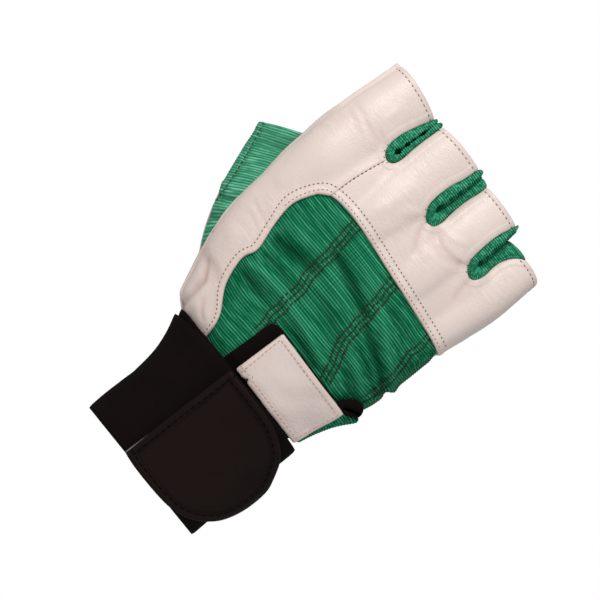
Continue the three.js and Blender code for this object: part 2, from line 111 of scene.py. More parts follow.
THUMB = [
    Tube(-24.0, 8.0, 59.0, 14.0, 11.0, 0, 36),
    Tube(-36.4, 11.6, 75.0, 15.6, 13.0, 0, 36),
    Tube(-48.6, 15.0, 89.0, 14.6, 13.2, 0, 32),
    Tube(-57.2, 18.0, 102.0, 13.1, 12.4, 0, 28),
    Tube(-63.2, 20.2, 115.0, 12.4, 11.7, 0, 29),
    Tube(-69.0, 23.0, 129.4, 11.8, 11.4, 0, 34),
]
TUBE_SQUARE = 2.3
PAST_OPENING = 6.0

# The grids that the skin is joined from, as columns and rows, and its rounds of smoothing
HAND_GRID = (96, 70)
TUBE_GRID = (56, 40)
SKIN_ROUNDS = 6

# Where the thumb's own form is looked for, and the share of its section that counts as near
THUMB_MAX_X, THUMB_MIN_Y, THUMB_MIN_Z = -30, -6, 50
THUMB_MOUTH_MAX_X, THUMB_MOUTH_MIN_Y = -50, 4
THUMB_EDGE, THUMB_SCALE = 1.16, 12
NOT_THUMB = -30.0

# Cuts: how near its line a vertex is drawn on to it, and the depth of a corner that may stay
SNAP = 0.2
SPIKE = 0.1

# Seam between the back and the palm: its Y at the thumb's and the little finger's side
SeamRow = namedtuple("SeamRow", "z radial ulnar")
SIDE_SEAM = [
    SeamRow(0.0, -1, 4), SeamRow(50.0, -1, 4), SeamRow(80.0, 1, 5), SeamRow(110.0, 0, 5),
    SeamRow(130.0, -3, 5), SeamRow(150.0, -7, 8), SeamRow(180.0, -2, 16),
]
SEAM_RADIAL_X = -60.0
SEAM_ULNAR_X = 38.0

# Outlines seen from the back of the hand, as X and Z
PANEL_RADIAL_EDGE = [
    (-24.0, 50), (-27.0, 61.6), (-35.2, 71.6), (-39.2, 82.8), (-38.0, 90), (-41.5, 101),
    (-43.2, 111.6), (-40.2, 121.1),
]
PANEL_DISTAL_EDGE = [(-35.5, 124.9), (-22.7, 125.9), (1.6, 123.4), (28.6, 120.4), (37.0, 118.8)]
KNUCKLE_SEAM = [(-36.4, 124.6), (-36.0, 136), (-33.6, 152)]
WRIST_X = -24.0
DISTAL_END_Z = 112.0
KNUCKLE_TOP_X = -33.2
KNUCKLE_LOW_Z = 100.0
TOP_Z = 190.0

# Knitted gussets seen from the back: the border, from past one finger's end round the web to
# past the next one's, the line of the slit between the two lips, and the slit's open places
# as height, half length and half width
Gusset = namedtuple("Gusset", "name border slit holes")
GUSSETS = [
    Gusset("gusset_index_middle",
           [(-35.2, 192), (-35.2, 175.3), (-36.6, 168.2), (-37.9, 161.5), (-38.0, 155.8),
            (-36.4, 151.8), (-33.6, 150.2), (-31.2, 151.4), (-30.2, 155.2), (-30.4, 161.3),
            (-30.2, 167.4), (-29.9, 174.8), (-29.6, 192)],
           [(-33.7, 154.4), (-32.6, 175.0)],
           [(155.9, 1.4, 1.2), (160.7, 1.4, 1.0), (163.6, 0.8, 0.6), (168.2, 1.7, 0.8)]),
    Gusset("gusset_middle_ring",
           [(-8.8, 192), (-9.0, 171.9), (-10.3, 164.0), (-10.5, 156.6), (-9.7, 151.4),
            (-7.6, 148.6), (-4.9, 147.4), (-2.4, 148.4), (-1.5, 151.9), (-1.9, 158.5),
            (-1.7, 166.0), (-0.8, 173.0), (-0.4, 192)],
           [(-6.5, 152.6), (-5.9, 172.1)],
           [(154.8, 1.9, 1.1), (160.2, 0.8, 0.5), (164.8, 1.2, 0.5)]),
    Gusset("gusset_ring_little",
           [(17.6, 192), (17.3, 172.5), (16.4, 167.4), (16.0, 161.3), (16.6, 153.0),
            (18.2, 149.2), (20.6, 147.2), (23.6, 147.6), (25.1, 151.3), (24.9, 157.5),
            (25.6, 161.6), (27.2, 165.2), (30.2, 168.2), (37.0, 172.0)],
           [(20.3, 152.6), (19.4, 169.4)],
           [(153.9, 1.1, 1.2), (157.4, 0.8, 0.5), (161.8, 1.0, 0.4)]),
]
KNIT_PITCH = 0.95
KNIT_HEIGHT = 0.34
KNIT_THICK = 0.5
SLIT_GAP = 0.1
HOLE_DEPTH = 3.0

# A lip's rounded end: how far it stands past the leather's edge at its crown and beside it, as
# places across the lip
LIP_PAST = 1.0
LIP_BACK_OFF = 1.0
LIP_CROWN = 0.34
LIP_HALF = 0.12
LIP_WIDE = 24

# The lips' section: a place as a share of the width plus a length inward, its depth under
# one face of the glove, and how far it bends to the little finger's side
Lip = namedtuple("Lip", "share inward depth face bend")
LIP_PROFILE = [
    Lip(0.0, -1.6, 1.9, "back", 0), Lip(0.0, -0.4, 1.4, "back", 0), Lip(0.0, 0.1, 0.9, "back", 0),
    Lip(0.0, 0.5, -0.05, "back", 0), Lip(0.42, 0.0, -0.75, "back", 0),
    Lip(0.78, 0.0, -0.55, "back", 0), Lip(1.0, -0.1, 0.5, "back", 0),
    Lip(1.0, 0.0, 1.8, "back", 0.1), Lip(1.0, 0.0, 3.4, "back", 0.8),
    Lip(1.0, 0.0, 3.4, "palm", 0.8), Lip(1.0, -0.3, 1.3, "palm", 0),
    Lip(0.6, 0.0, 0.1, "palm", 0), Lip(0.0, 0.15, 0.3, "palm", 0),
    Lip(0.0, -1.5, 1.7, "palm", 0),
]
SIDE_SAG = 0.35
# Painted shade in the slit between the lips: across the lip where it starts and where it is full,
# and its strength where the slit is closed, to which the open places add
SLIT_SHADE = (0.42, 0.54)
SLIT_SHADE_STRENGTH = 0.7
CROWN_DEPTH = 4

# The leather: how far it lies over the cloth, the margin of its rough cut, the finer grain beside
# its edges and the drop of its folded edges
LEATHER_OVER = 0.35
ROUGH_MARGIN = 3.0
LEATHER_REACH = 4.4
PALM_REACH = 3.2
EDGE_DROP = 0.7
EDGE_DROPS = {"opening": 0.25, "slot": 0.4}

# Heights on the leather: the wrist's edge, where folded edges turn into a butted seam and how
# much flatter that is, and where the side seam's lip, sunk under the cloth, rises to its full size
WRIST_Z = 26.0
BUTTED_FROM, BUTTED_TO = 123.5, 127.0
BUTTED_FLATTER = 0.85
LIP_FROM, LIP_TO = 116.0, 120.0
LIP_SUNK = -0.6

# The ribbed cloth: its span on the back and the thumb, in millimetres and parts of pi, how its
# ribs run, what is tucked under the leather and how deep it lies there
BACK_LOW, BACK_HIGH = 30.0, 130.0
BACK_FROM, BACK_TO = 1.2, 2.14
BACK_COLUMNS = 126
BACK_WIDE = 105
THUMB_LOW = 62.0
THUMB_COLUMNS = 92
THUMB_WIDE = 78
THUMB_SHEAR = 7.0
THUMB_REACH = 1.3
THUMB_PAST = 2.0
THUMB_SLANT = 1.2
THUMB_STRETCH = 1.1
THUMB_TUCK = 1.5
THUMB_HEM = 3.4
ROWS_PER_RIB = 4
RIB_WANDER = 1.1
TUCK = 3.0
SUNK = -1.0
WAVE_SPAN = 0.314

# Rows of stitches across the cloth: the band's middle line and its rows' distances from it
Band = namedtuple("Band", "points shifts")
BAND_WANDER = 1.3
CLOTH_BANDS = [
    Band([(-22.4, 126.0), (-19.6, 112.0), (-18.4, 103.0), (-16.2, 91.9), (-14.5, 83.7),
          (-14.4, 78.4), (-13.2, 68.0)], (-2.1, 0.0, 2.1)),
    Band([(4.6, 124.0), (5.9, 115.4), (7.2, 108.6), (8.3, 102.5), (9.9, 95.1), (12.2, 88.6),
          (14.8, 83.5), (17.8, 77.5)], (-2.1, 0.0, 2.1)),
    Band([(29.6, 121.0), (31.0, 109.0), (32.5, 99.6), (34.2, 93.2), (33.4, 88.5), (32.2, 84.0)],
         (-1.1, 1.1)),
]

# Soft folds: a line seen from the back, the fold's height or depth and its half width
Fold = namedtuple("Fold", "points height width")
CLOTH_FOLDS = [
    Fold([(-41, 96.6), (-31.9, 98.6), (-25.4, 100.1), (-19, 101.3)], -2.3, 2.7),
    Fold([(-42, 104.5), (-30, 106.5), (-22, 108)], 0.9, 2.8),
    Fold([(-38, 89.6), (-28, 91.0), (-18, 90.6)], -0.8, 1.7),
    Fold([(-40, 82.2), (-30.5, 85.2), (-19.7, 86.0), (-11.5, 85.0), (-1.2, 84.3),
          (11.5, 81.6)], 2.1, 2.0),
    Fold([(-36.5, 78.6), (-28, 79.8), (-19.5, 79.6)], -1.7, 2.0),
    Fold([(-10, 79.8), (2, 79.2), (10, 77.5)], -1.3, 1.6),
    Fold([(-16.6, 112), (-8.9, 110.3), (-1.2, 108.6), (8, 106.0)], -2.3, 2.3),
    Fold([(-15, 119.5), (-6, 116.6), (3, 113.6)], 1.0, 2.4),
    Fold([(-14, 105), (-3, 102.8), (7, 100)], 0.8, 2.4),
    Fold([(-12, 96.5), (0.2, 95.3), (9, 92)], -1.2, 2.4),
    Fold([(10, 117), (18, 114.6), (27, 113.2)], -1.0, 2.6),
    Fold([(9.5, 111.4), (16, 108.2), (22.8, 104.2), (30, 100.6), (36, 96.5)], 2.0, 2.1),
    Fold([(12, 103.4), (20, 100.2), (30, 96.6), (36, 93.5)], -2.3, 1.8),
    Fold([(14, 96.6), (24, 93.6), (34, 90.0)], -1.1, 1.4),
    Fold([(13, 92.6), (22, 89.8), (31.5, 86.3)], 1.8, 2.0),
    Fold([(17, 86.5), (25, 84.0), (30, 81.5)], -1.0, 1.8),
]
THUMB_FOLDS = [
    Fold([(-63, 82), (-58, 86.5), (-52, 91)], -0.9, 1.5),
    Fold([(-65, 86), (-59.5, 90.5), (-54, 95)], 0.6, 1.5),
    Fold([(-67, 90), (-61, 94.5), (-55, 98.5)], -0.9, 1.3),
    Fold([(-69, 95), (-62, 99.5), (-56, 103)], 0.6, 1.6),
    Fold([(-74, 117), (-60, 126)], -0.5, 2.5),
]
INDEX_FOLDS = [
    Fold([(-40.0, 54.0), (-41.4, 61.5), (-42.4, 66.2), (-47.6, 71.2)], -1.2, 1.2),
    Fold([(-36.6, 54.0), (-38.0, 60.5), (-39.0, 64.5)], 0.8, 1.4),
    Fold([(-43.4, 57.0), (-45.0, 62.0), (-46.6, 67.0)], 0.4, 1.3),
    Fold([(-30.4, 56.4), (-33.5, 58.0), (-36.1, 61.0)], -0.6, 0.9),
    Fold([(-50.2, 72.4), (-44.5, 72.0), (-39.9, 70.8)], -0.7, 2.2),
    Fold([(-51.1, 87.0), (-46.9, 85.4)], 0.5, 3.6),
    Fold([(-53.1, 100.4), (-47.4, 99.3), (-42.4, 97.6)], -0.4, 1.0),
    Fold([(-50.3, 96.2), (-44.5, 95.4)], -0.25, 1.0),
    Fold([(-50.1, 103.2), (-43.8, 100.4)], -0.3, 1.1),
    Fold([(-58.0, 151.4), (-53.3, 150.2), (-48.0, 149.0)], -0.3, 1.0),
    Fold([(-58.3, 154.8), (-50.2, 153.3), (-41.0, 152.1)], -0.35, 1.0),
    Fold([(-44.1, 155.2), (-39.4, 153.6)], -0.3, 0.9),
    Fold([(-46.3, 160.0), (-45.8, 167.0)], 0.3, 1.6),
]
KNUCKLE_FOLDS = [
    Fold([(-6.0, 147.6), (-2.9, 141.5), (0.6, 135.8)], -0.55, 1.3),
    Fold([(-3.4, 147.2), (0.8, 142.0), (4.5, 138.3)], 0.45, 1.5),
    Fold([(-1.6, 148.6), (6.0, 145.6), (15.6, 147.2)], -0.65, 1.3),
    Fold([(-1.0, 151.0), (6.0, 151.0), (10.7, 153.6)], 0.4, 1.5),
    Fold([(-8.8, 148.6), (-14.2, 142.1)], 0.5, 2.2),
    Fold([(-22.0, 132.0), (-19.5, 141.0), (-19.0, 150.0)], 0.7, 3.2),
    Fold([(17.4, 148.6), (10.0, 143.5), (4.5, 143.8)], -0.45, 1.4),
    Fold([(22.8, 147.0), (23.6, 141.5), (24.8, 137.0)], -0.5, 1.4),
    Fold([(25.4, 148.6), (29.0, 144.0)], 0.35, 1.6),
]

# Webs that the leather's fine creases run out from, where they are strongest, how far they
# reach, and the depth past which none are on the palm
STARS = [(-35.0, 153.0), (-6.0, 150.5), (21.0, 150.0)]
STAR_FROM = 3
STAR_REACH = 8.5
STAR_MAX_Y = 6

# The wrist wrap, wound on a growing spiral, and its end flap
GAP = 0.3
WRAP_HEIGHT = 52.2
WRAP_BOTTOM = -0.7
WRAP_FLARE_TOP = 52.0
WRAP_THICK = 1.5
WRAP_PITCH = 1.8
WRAP_CLEAR = 0.6
WRAP_TURNS = 1.66
WRAP_START = 0.78 * math.pi
WRAP_DROP = 3.0
DROP_TURN, DROP_HALF = 1.11, 0.16
WRAP_GRID = (250, 56)
FLAP_OUTLINE = [
    (-9.8, 1.6), (-3, 0.9), (8, 0.8), (16, 1.2), (22, 2.4), (27.2, 4.9), (32.4, 9.7),
    (35.7, 15.2), (37.6, 23.1), (37.4, 32.2), (35.1, 38), (30.6, 45.4), (25.3, 49.2),
    (19, 51.6), (10.3, 52.6), (-8.8, 52.8),
]
FLAP_THICK = 2.0
FLAP_TALL = 56.0
FLAP_FROM, FLAP_TO = 1.42, 1.98
FLAP_STAND = 3.8
FLAP_BORDER = 3.5
FLAP_ROW = 2.7
FLAP_RAW_X = -8.0
FLAP_RAW_Z = 14.0
FLAP_GRID = (84, 84)

# The closing tab's three layers, seen from the back
TAPE_THICK = 1.2
TAPE_OUTLINE = [
    (-14.2, 53.0), (26, 53.0), (FAR, 52.8), (FAR, 72), (33, 74.5), (30.5, 76.2),
    (-7.0, 77.9), (-10.4, 77.6), (-12.8, 76.0),
]
TAPE_END_Y = 3.0
TAB_THICK = 1.2
TAB_OUTLINE = [
    (-7.4, 54.6), (26, 54.2), (FAR, 54.5), (FAR, 77.8), (38.4, 77.8), (36.9, 77.2),
    (34.6, 75.9), (32.0, 75.0), (29.0, 75.2), (-6.6, 76.8),
]
TAB_END_Y = 9.0
TAB_RIBS = 36

# The hook tape's rolled end beside the patch, as X, Y and Z: its rim and the hollow's line
MOUTH = [
    (27.6, -14.0, 76.5), (28.4, -13.6, 78.9), (31.0, -11.8, 82.0), (33.7, -9.4, 83.6),
    (35.7, -7.2, 83.0), (37.1, -5.0, 80.9), (36.9, -6.0, 78.6), (34.6, -9.6, 76.7),
    (32.2, -12.0, 75.6), (29.7, -13.4, 75.7),
]
MOUTH_SLIT = [(31.0, -12.4, 77.0), (36.2, -7.0, 79.8)]
MOUTH_INWARD = (-0.45, 0.89, 0.0)
MOUTH_PROFILE = [
    (0.0, 1.6), (0.04, 0.4), (0.3, -0.7), (0.62, -0.6), (0.86, 0.5), (0.97, 2.4), (1.0, 5.0),
]
PATCH_THICK = 1.4
PATCH_OUTLINE = [
    (-7.8, 54.3), (-3.0, 54.2), (-1.8, 55.5), (-0.8, 54.1), (29.2, 53.2), (32.5, 75.5),
    (-6.9, 77.1),
]
PATCH_ROW = 2.5
FOLD_RISE = 2.2
FOLD_LOW = 0.75
FOLD_FROM_Y, FOLD_TO_Y = -1.0, 8.0
FOLD_FROM_X, FOLD_TO_X = 22.0, 31.0
FOLD_FROM_Z, FOLD_TO_Z = 66.0, 78.0
CLOSURE_LOW, CLOSURE_HIGH = 50.0, 88.0
CLOSURE_FROM, CLOSURE_TO = 1.3, 2.25
CLOSURE_COLUMNS, CLOSURE_ROWS = 110, 60
CLOSURE_WIDE = 115
CLOSURE_REACH = 2.0

# How far each of the tab's layers lies outside the hand
TAPE_GROW = GAP + TAPE_THICK
TAB_GROW = TAPE_GROW + GAP + TAB_THICK
PATCH_GROW = TAB_GROW + GAP + PATCH_THICK

# Flat sizes of the cut pieces, in millimetres, and what each one lies on
Sheet = namedtuple("Sheet", "width length area rests_on", defaults=([],))
SHEETS = {
    "leather_index_side": Sheet(47, 156, 4900),
    "leather_knuckles": Sheet(90, 78, 4200),
    "leather_palm": Sheet(125, 155, 15800),
    "cloth_back": Sheet(105, 100, 8800),
    "cloth_thumb": Sheet(60, 78, 2900),
    "knit_gusset_index_middle": Sheet(40, 62, 1700),
    "knit_gusset_middle_ring": Sheet(40, 66, 2050),
    "knit_gusset_ring_little": Sheet(40, 68, 1850),
    "wrap_elastic": Sheet(52.2, 278, 14500, ["leather_palm", "cloth_back"]),
    "flap_coated": Sheet(50, 52, 2440, ["wrap_elastic"]),
    "tape_hooks": Sheet(58, 25.5, 1360, ["cloth_back"]),
    "tape_rolled_end": Sheet(12, 21, 205, ["tape_hooks"]),
    "tab_cloth": Sheet(64, 24.5, 1450, ["tape_hooks"]),
    "patch_leather": Sheet(43, 24, 990, ["tab_cloth"]),
}

# Rows of stitches: one stitch's length and width, their distance, rise and slant in degrees
STITCH_REACH = 0.3
Row = namedtuple("Row", "length width pitch rise slant")
EDGE_ROW = Row(0.9, 0.5, 1.75, 0.0, 0)
FAINT_ROW = Row(0.9, 0.4, 1.75, -0.04, 0)
KNUCKLE_ROW = Row(1.0, 0.55, 1.85, 0.05, 0)
OPENING_ROW = Row(1.2, 0.4, 2.0, 0.0, 0)
OPENING_HEM = 1.9
OPENING_REACH = 20
WEB_ROW = Row(0.9, 0.35, 2.6, 0.05, 70)
CLOTH_ROW = Row(2.2, 0.8, 2.1, 0.1, 9)
THUMB_ROW = Row(1.5, 0.5, 2.2, 0.1, 0)
PATCH_STITCH = Row(1.5, 0.4, 2.0, 0.0, 0)
FLAP_STITCH = Row(2.0, 0.5, 2.9, 0.02, 0)

# Seen from the back: the edge of the thumb's cloth, and a seam strip along its outer side
THUMB_SEAM = [(-45.0, 63), (-48.5, 80), (-51.0, 96), (-51.0, 112), (-48.0, 140)]
THUMB_STRIP = [(-79.6, 130), (-77.2, 124), (-71.5, 111.5), (-67.5, 100.4), (-64.0, 88)]
THUMB_PALM_SIDE = [(60, 14), (90, 20), (140, 30)]

# The stage in metres: the floor, the light all round, the lamps and the camera
FLOOR_RADIUS = 3.2
FLOOR_Z = -0.75
FLOOR_TINTS = (0.93, 0.93, 0.93), (0.96, 0.96, 0.96)
WORLD_STRENGTH = 0.42
Lamp = namedtuple("Lamp", "name place size watts colour")
AIM = (-0.012, 0.0, 0.09)
LIGHTS = [
    Lamp("key", (-0.52, -0.86, 0.96), 0.6, 11.6, (1.0, 0.98, 0.96)),
    Lamp("fill", (0.9, -0.8, 0.0), 0.9, 1.5, (0.97, 0.98, 1.0)),
]
CAMERA_PLACE = (-0.0128, -0.918, 0.0902)
CAMERA_UP = (-0.777, 0.0, 0.629)
LENS = 140.4
SENSOR = 36.0
CLIP_END = 20.0


def length_setting(name, description, default, low, high):
    """A length that the panel shows, in metres."""
    return FloatProperty(name=name, description=description, default=default, min=low, max=high,
                         unit="LENGTH")


def colour_setting(name, description, default):
    """A colour that the panel shows."""
    return FloatVectorProperty(name=name, description=description, default=default, size=3,
                               min=0, max=1, subtype="COLOR")


class GloveSizes(bpy.types.PropertyGroup):
    """Sizes that a user would change."""

    leather_thick: length_setting("Leather", "Thickness of the leather", 0.0012, 0.0006, 0.002)
    cloth_thick: length_setting("Cloth", "Thickness of the ribbed cloth", 0.001, 0.0005, 0.002)
    rib_pitch: length_setting("Rib pitch", "Distance between two ribs of the cloth",
                              0.00108, 0.0006, 0.003)
    rib_height: length_setting("Rib height", "How far a rib stands out of the cloth",
                               0.00022, 0.0, 0.001)
    hem_width: length_setting("Hem width", "Distance of the stitch row from a folded edge",
                              0.003, 0.0015, 0.006)
    skin_step: length_setting("Skin step", "Grain of the mesh that the leather is cut from",
                              0.001, 0.0006, 0.003)


class GloveColours(bpy.types.PropertyGroup):
    """Colours that a user would change."""

    leather: colour_setting("Leather", "Face of the leather", (0.80, 0.68, 0.63))
    leather_band: colour_setting("Leather band", "Leather of the folded edges beside the cloth",
                                 (0.78, 0.62, 0.55))
    # Painted shade: the leather's colour in its creases, in its fold hollows and along its folded
    # edges
    leather_painted_shade: colour_setting("Leather shade", "Leather in its creases and along its edges",
                                  (0.60, 0.42, 0.36))
    cloth: colour_setting("Cloth", "Ground of the ribbed cloth", (0.002, 0.20, 0.08))
    cloth_light: colour_setting("Cloth streaks", "Light yarns in the ribbed cloth",
                                (0.068, 0.50, 0.275))
    cloth_edge: colour_setting("Cloth edge", "Overcast thread along the back cloth's side seam",
                               (0.09, 0.20, 0.12))
    thumb_cloth: colour_setting("Thumb cloth", "Ground of the thumb's cloth", (0.05, 0.38, 0.20))
    thumb_light: colour_setting("Thumb streaks", "Light yarns in the thumb's cloth",
                                (0.26, 0.80, 0.54))
    knit: colour_setting("Gusset knit", "Ground of the gussets' knit", (0.008, 0.25, 0.115))
    knit_light: colour_setting("Gusset streaks", "Light yarns in the gussets' knit",
                               (0.14, 0.66, 0.40))
    elastic: colour_setting("Elastic", "Wrist wrap and hook tape", (0.0052, 0.0034, 0.0032))
    coated: colour_setting("Coated flap", "Face of the closing flap", (0.0080, 0.0038, 0.0030))
    raw_edge: colour_setting("Raw edge", "Cut edge of the flap's coating", (0.30, 0.27, 0.26))
    thread: colour_setting("Leather thread", "Thread of the leather's seams",
                           (0.13, 0.09, 0.075))
    cloth_thread: colour_setting("Cloth thread", "Thread of the triple rows on the cloth",
                                 (0.022, 0.026, 0.013))
    black_thread: colour_setting("Flap thread", "Thread along the flap's border",
                                 (0.0012, 0.001, 0.001))
    patch_thread: colour_setting("Patch thread", "Thread along the edge of the tab's patch",
                                 (0.42, 0.25, 0.21))


def size(name):
    """One of the panel's sizes, in millimetres."""
    return getattr(bpy.context.scene.glove_sizes, name) / MM


def colour(name, share=1.0):
    """One of the panel's colours, or that colour made darker or lighter."""
    return [c * share for c in getattr(bpy.context.scene.glove_colours, name)]


# Curves and surfaces of the glove's form

def curve(start, end, rise, fall, t):
    """The place at t on a cubic from start to end, with its slopes at both ends."""
    cubic = 2 * (start - end) + rise + fall
    square = 3 * (end - start) - 2 * rise - fall
    return ((cubic * t + square) * t + rise) * t + start


def row_at(table, z):
    """A table's row at a height, each column on one smooth curve through its rows."""
    z = min(max(z, table[0].z), table[-1].z)
    i = 0
    while i < len(table) - 2 and table[i + 1].z < z:
        i += 1
    rows = [table[max(i - 1, 0)], table[i], table[i + 1], table[min(i + 2, len(table) - 1)]]
    span = rows[2].z - rows[1].z
    t = (z - rows[1].z) / span
    columns = []
    for before, start, end, after in zip(*rows):
        rise = span * (end - before) / (rows[2].z - rows[0].z)
        fall = span * (after - start) / (rows[3].z - rows[1].z)
        columns.append(curve(start, end, rise, fall, t))
    return type(table[0])(*columns)._replace(z=z)


def smooth_line(points, steps=6):
    """A smooth run through an outline's corners."""
    line = []
    last = len(points) - 1
    for i in range(last):
        p = [Vector(points[min(max(k, 0), last)]) for k in (i - 1, i, i + 1, i + 2)]
        rise, fall = (p[2] - p[0]) / 2, (p[3] - p[1]) / 2
        line += [tuple(curve(p[1], p[2], rise, fall, k / steps)) for k in range(steps)]
    line.append(tuple(points[last]))
    return line


def run_along(line):
    """The length from a line's start to each of its points."""
    return np.concatenate([[0], np.cumsum(np.hypot(*np.diff(line, axis=0).T))])


def squared(value, square):
    """A sine or cosine for a section that is squarer than an ellipse."""
    return math.copysign(abs(value) ** (2 / square), value)


def hand_point(z, angle, grow=0.0):
    """A point of the hand's section, moved out by grow."""
    row = row_at(HAND, z)
    middle = (row.radial + row.ulnar) / 2
    dx = ((row.ulnar - row.radial) / 2 + grow) * squared(math.cos(angle), row.square)
    deep = (-row.back if math.sin(angle) < 0 else row.palm) + grow
    dy = deep * squared(math.sin(angle), row.square)
    return Vector((middle + dx, dy + row.tilt * dx, z - row.tip * dy))


def tube_axes(row):
    """The directions across, through and along a finger."""
    lean, bend = math.radians(row.lean), math.radians(row.bend)
    across = Vector((math.cos(lean), 0, math.sin(lean)))
    through = Vector((0, math.cos(bend), -math.sin(bend)))
    return across, through, across.cross(through)


def tube_point(table, z, angle, grow=0.0):
    """A point of a finger's section, moved out by grow; past its last row it runs straight on."""
    row = row_at(table, z)
    across, through, along = tube_axes(row)
    point = Vector(row[:3]) + along * max(z - table[-1].z, 0)
    point += across * (row.across + grow) * squared(math.cos(angle), TUBE_SQUARE)
    return point + through * (row.through + grow) * squared(math.sin(angle), TUBE_SQUARE)


# Fields: a value for each point, positive on the side of a line that is kept

def nearest_on(line, co):
    """Distance of points seen from the back to a line, and the length along it there."""
    line = np.array(line, float)
    start, step = line[:-1], line[1:] - line[:-1]
    length = np.hypot(step[:, 0], step[:, 1])
    along = np.concatenate([[0], np.cumsum(length)[:-1]])
    away = co[:, None, ::2] - start[None]
    t = np.clip((away * step).sum(2) / (length ** 2), 0, 1)
    away = away - t[..., None] * step
    distance = np.hypot(away[..., 0], away[..., 1])
    best = distance.argmin(1)
    rows = np.arange(len(co))
    return distance[rows, best], along[best] + t[rows, best] * length[best]


def area(outline):
    """The field of a closed outline seen from the back, positive inside."""
    ring = np.array(list(outline) + [outline[0]], float)

    def field(co):
        distance, _ = nearest_on(ring, co)
        x, z = co[:, 0, None], co[:, 2, None]
        x0, z0, x1, z1 = ring[:-1, 0], ring[:-1, 1], ring[1:, 0], ring[1:, 1]
        spans = (z0 > z) != (z1 > z)
        rise = np.where(z1 == z0, 1e-9, z1 - z0)
        crossed = spans & (x < x0 + (z - z0) / rise * (x1 - x0))
        return np.where(crossed.sum(1) % 2 == 1, distance, -distance)

    return field


def side_seam(co):
    """How far points lie to the back of the side seam."""
    heights = [row.z for row in SIDE_SEAM]
    radial = np.interp(co[:, 2], heights, [row.radial for row in SIDE_SEAM])
    ulnar = np.interp(co[:, 2], heights, [row.ulnar for row in SIDE_SEAM])
    share = (co[:, 0] - SEAM_RADIAL_X) / (SEAM_ULNAR_X - SEAM_RADIAL_X)
    return radial + (ulnar - radial) * share - co[:, 1]


def slit_x(g, z):
    """X of a gusset's slit at a height."""
    (x0, z0), (x1, z1) = g.slit
    return x0 + (x1 - x0) * (z - z0) / (z1 - z0)


def depth_in(table, co):
    """Depth of points inside a finger's opening, along the finger."""
    return (np.array(table[-1][:3]) - co) @ np.array(tube_axes(table[-1])[2])


def thumb_nearness(co):
    """Positive on the thumb's own form and near it, in rough millimetres."""
    nearness = np.full(len(co), NOT_THUMB)
    x, y, z = co.T
    for i in np.nonzero((x < THUMB_MAX_X) & (y > THUMB_MIN_Y) & (z > THUMB_MIN_Z))[0]:
        point = Vector(co[i])
        height = point.z
        for _ in range(3):
            row = row_at(THUMB, height)
            across, through, along = tube_axes(row)
            away = point - Vector(row[:3])
            height = row.z + away.dot(along) * along.z
        reach = abs(away.dot(across) / row.across) ** TUBE_SQUARE
        reach += abs(away.dot(through) / row.through) ** TUBE_SQUARE
        nearness[i] = (THUMB_EDGE - reach ** 0.5) * THUMB_SCALE
    return nearness


def openings(co, nearness):
    """Depth of points inside the finger and thumb openings."""
    x, y, z = co.T
    number = sum((x > slit_x(g, z)).astype(int) for g in GUSSETS)
    depths = np.array([depth_in(table, co) for table in FINGERS])
    depth = depths[number, np.arange(len(co))]
    on_thumb = (nearness > 0) & (y > THUMB_MOUTH_MIN_Y) & (x < THUMB_MOUTH_MAX_X)
    return np.where(on_thumb, depth_in(THUMB, co), depth)


def slots(co):
    """Distance outside the nearest gusset."""
    return -np.max([area(smooth_line(g.border))(co) for g in GUSSETS], axis=0)


def panel_edge():
    """The back panel's edge from the wrist up the index side and across the knuckles."""
    return smooth_line(PANEL_RADIAL_EDGE + PANEL_DISTAL_EDGE)


def panel_outline():
    """The back panel's edge closed past the wrist and the little finger's side."""
    return [(WRIST_X, 0), *panel_edge(), (FAR, DISTAL_END_Z), (FAR, 0)]


def index_outline():
    """The edge of the leather on the index side, closed past the glove's outline."""
    return [(WRIST_X, 0), *smooth_line(PANEL_RADIAL_EDGE), *smooth_line(KNUCKLE_SEAM),
            (KNUCKLE_TOP_X, TOP_Z), (-FAR, TOP_Z), (-FAR, 0)]


def outer_side(line):
    """The field of all that lies on the thumb's side of a line."""
    return area([*line, (-FAR, line[-1][1]), (-FAR, line[0][1])])


def thumb_zone(co, nearness):
    """Positive where the thumb's cloth is."""
    palm_side = np.interp(co[:, 2], *zip(*THUMB_PALM_SIDE)) - co[:, 1]
    return np.min([outer_side(smooth_line(THUMB_SEAM))(co), palm_side, nearness], axis=0)


# Meshes: grids laid on a surface, lines cut into them, and relief

def grid(place, columns, rows, span=(1.0, 1.0)):
    """A grid bent by place(u, v); its vertices keep u and v, and its UV map has them by span."""
    bm = bmesh.new()
    chart = bm.loops.layers.uv.new("UVMap")
    across = bm.verts.layers.float.new("u")
    along = bm.verts.layers.float.new("v")
    made = bmesh.ops.create_grid(bm, x_segments=columns, y_segments=rows, size=0.5,
                                 calc_uvs=True)
    for vert in made["verts"]:
        vert[across], vert[along] = vert.co.x + 0.5, vert.co.y + 0.5
        vert.co = place(vert[across], vert[along])
    for face in bm.faces:
        for loop in face.loops:
            loop[chart].uv = (loop.vert[across] * span[0], loop.vert[along] * span[1])
    return bm


def closed_tube(place, around, along):
    """A grid rolled up into a tube and closed at both ends."""
    bm = grid(place, around, along)
    bmesh.ops.remove_doubles(bm, verts=bm.verts, dist=0.01)
    bmesh.ops.holes_fill(bm, edges=bm.edges, sides=0)
    bmesh.ops.recalc_face_normals(bm, faces=bm.faces)
    return bm


def mesh_of(bm, name):
    """A mesh made from a bmesh, which is freed."""
    mesh = bpy.data.meshes.new(name)
    bm.to_mesh(mesh)
    bm.free()
    return mesh


def put(name, data):
    """A new object in the scene."""
    made = bpy.data.objects.new(name, data)
    bpy.context.scene.collection.objects.link(made)
    return made


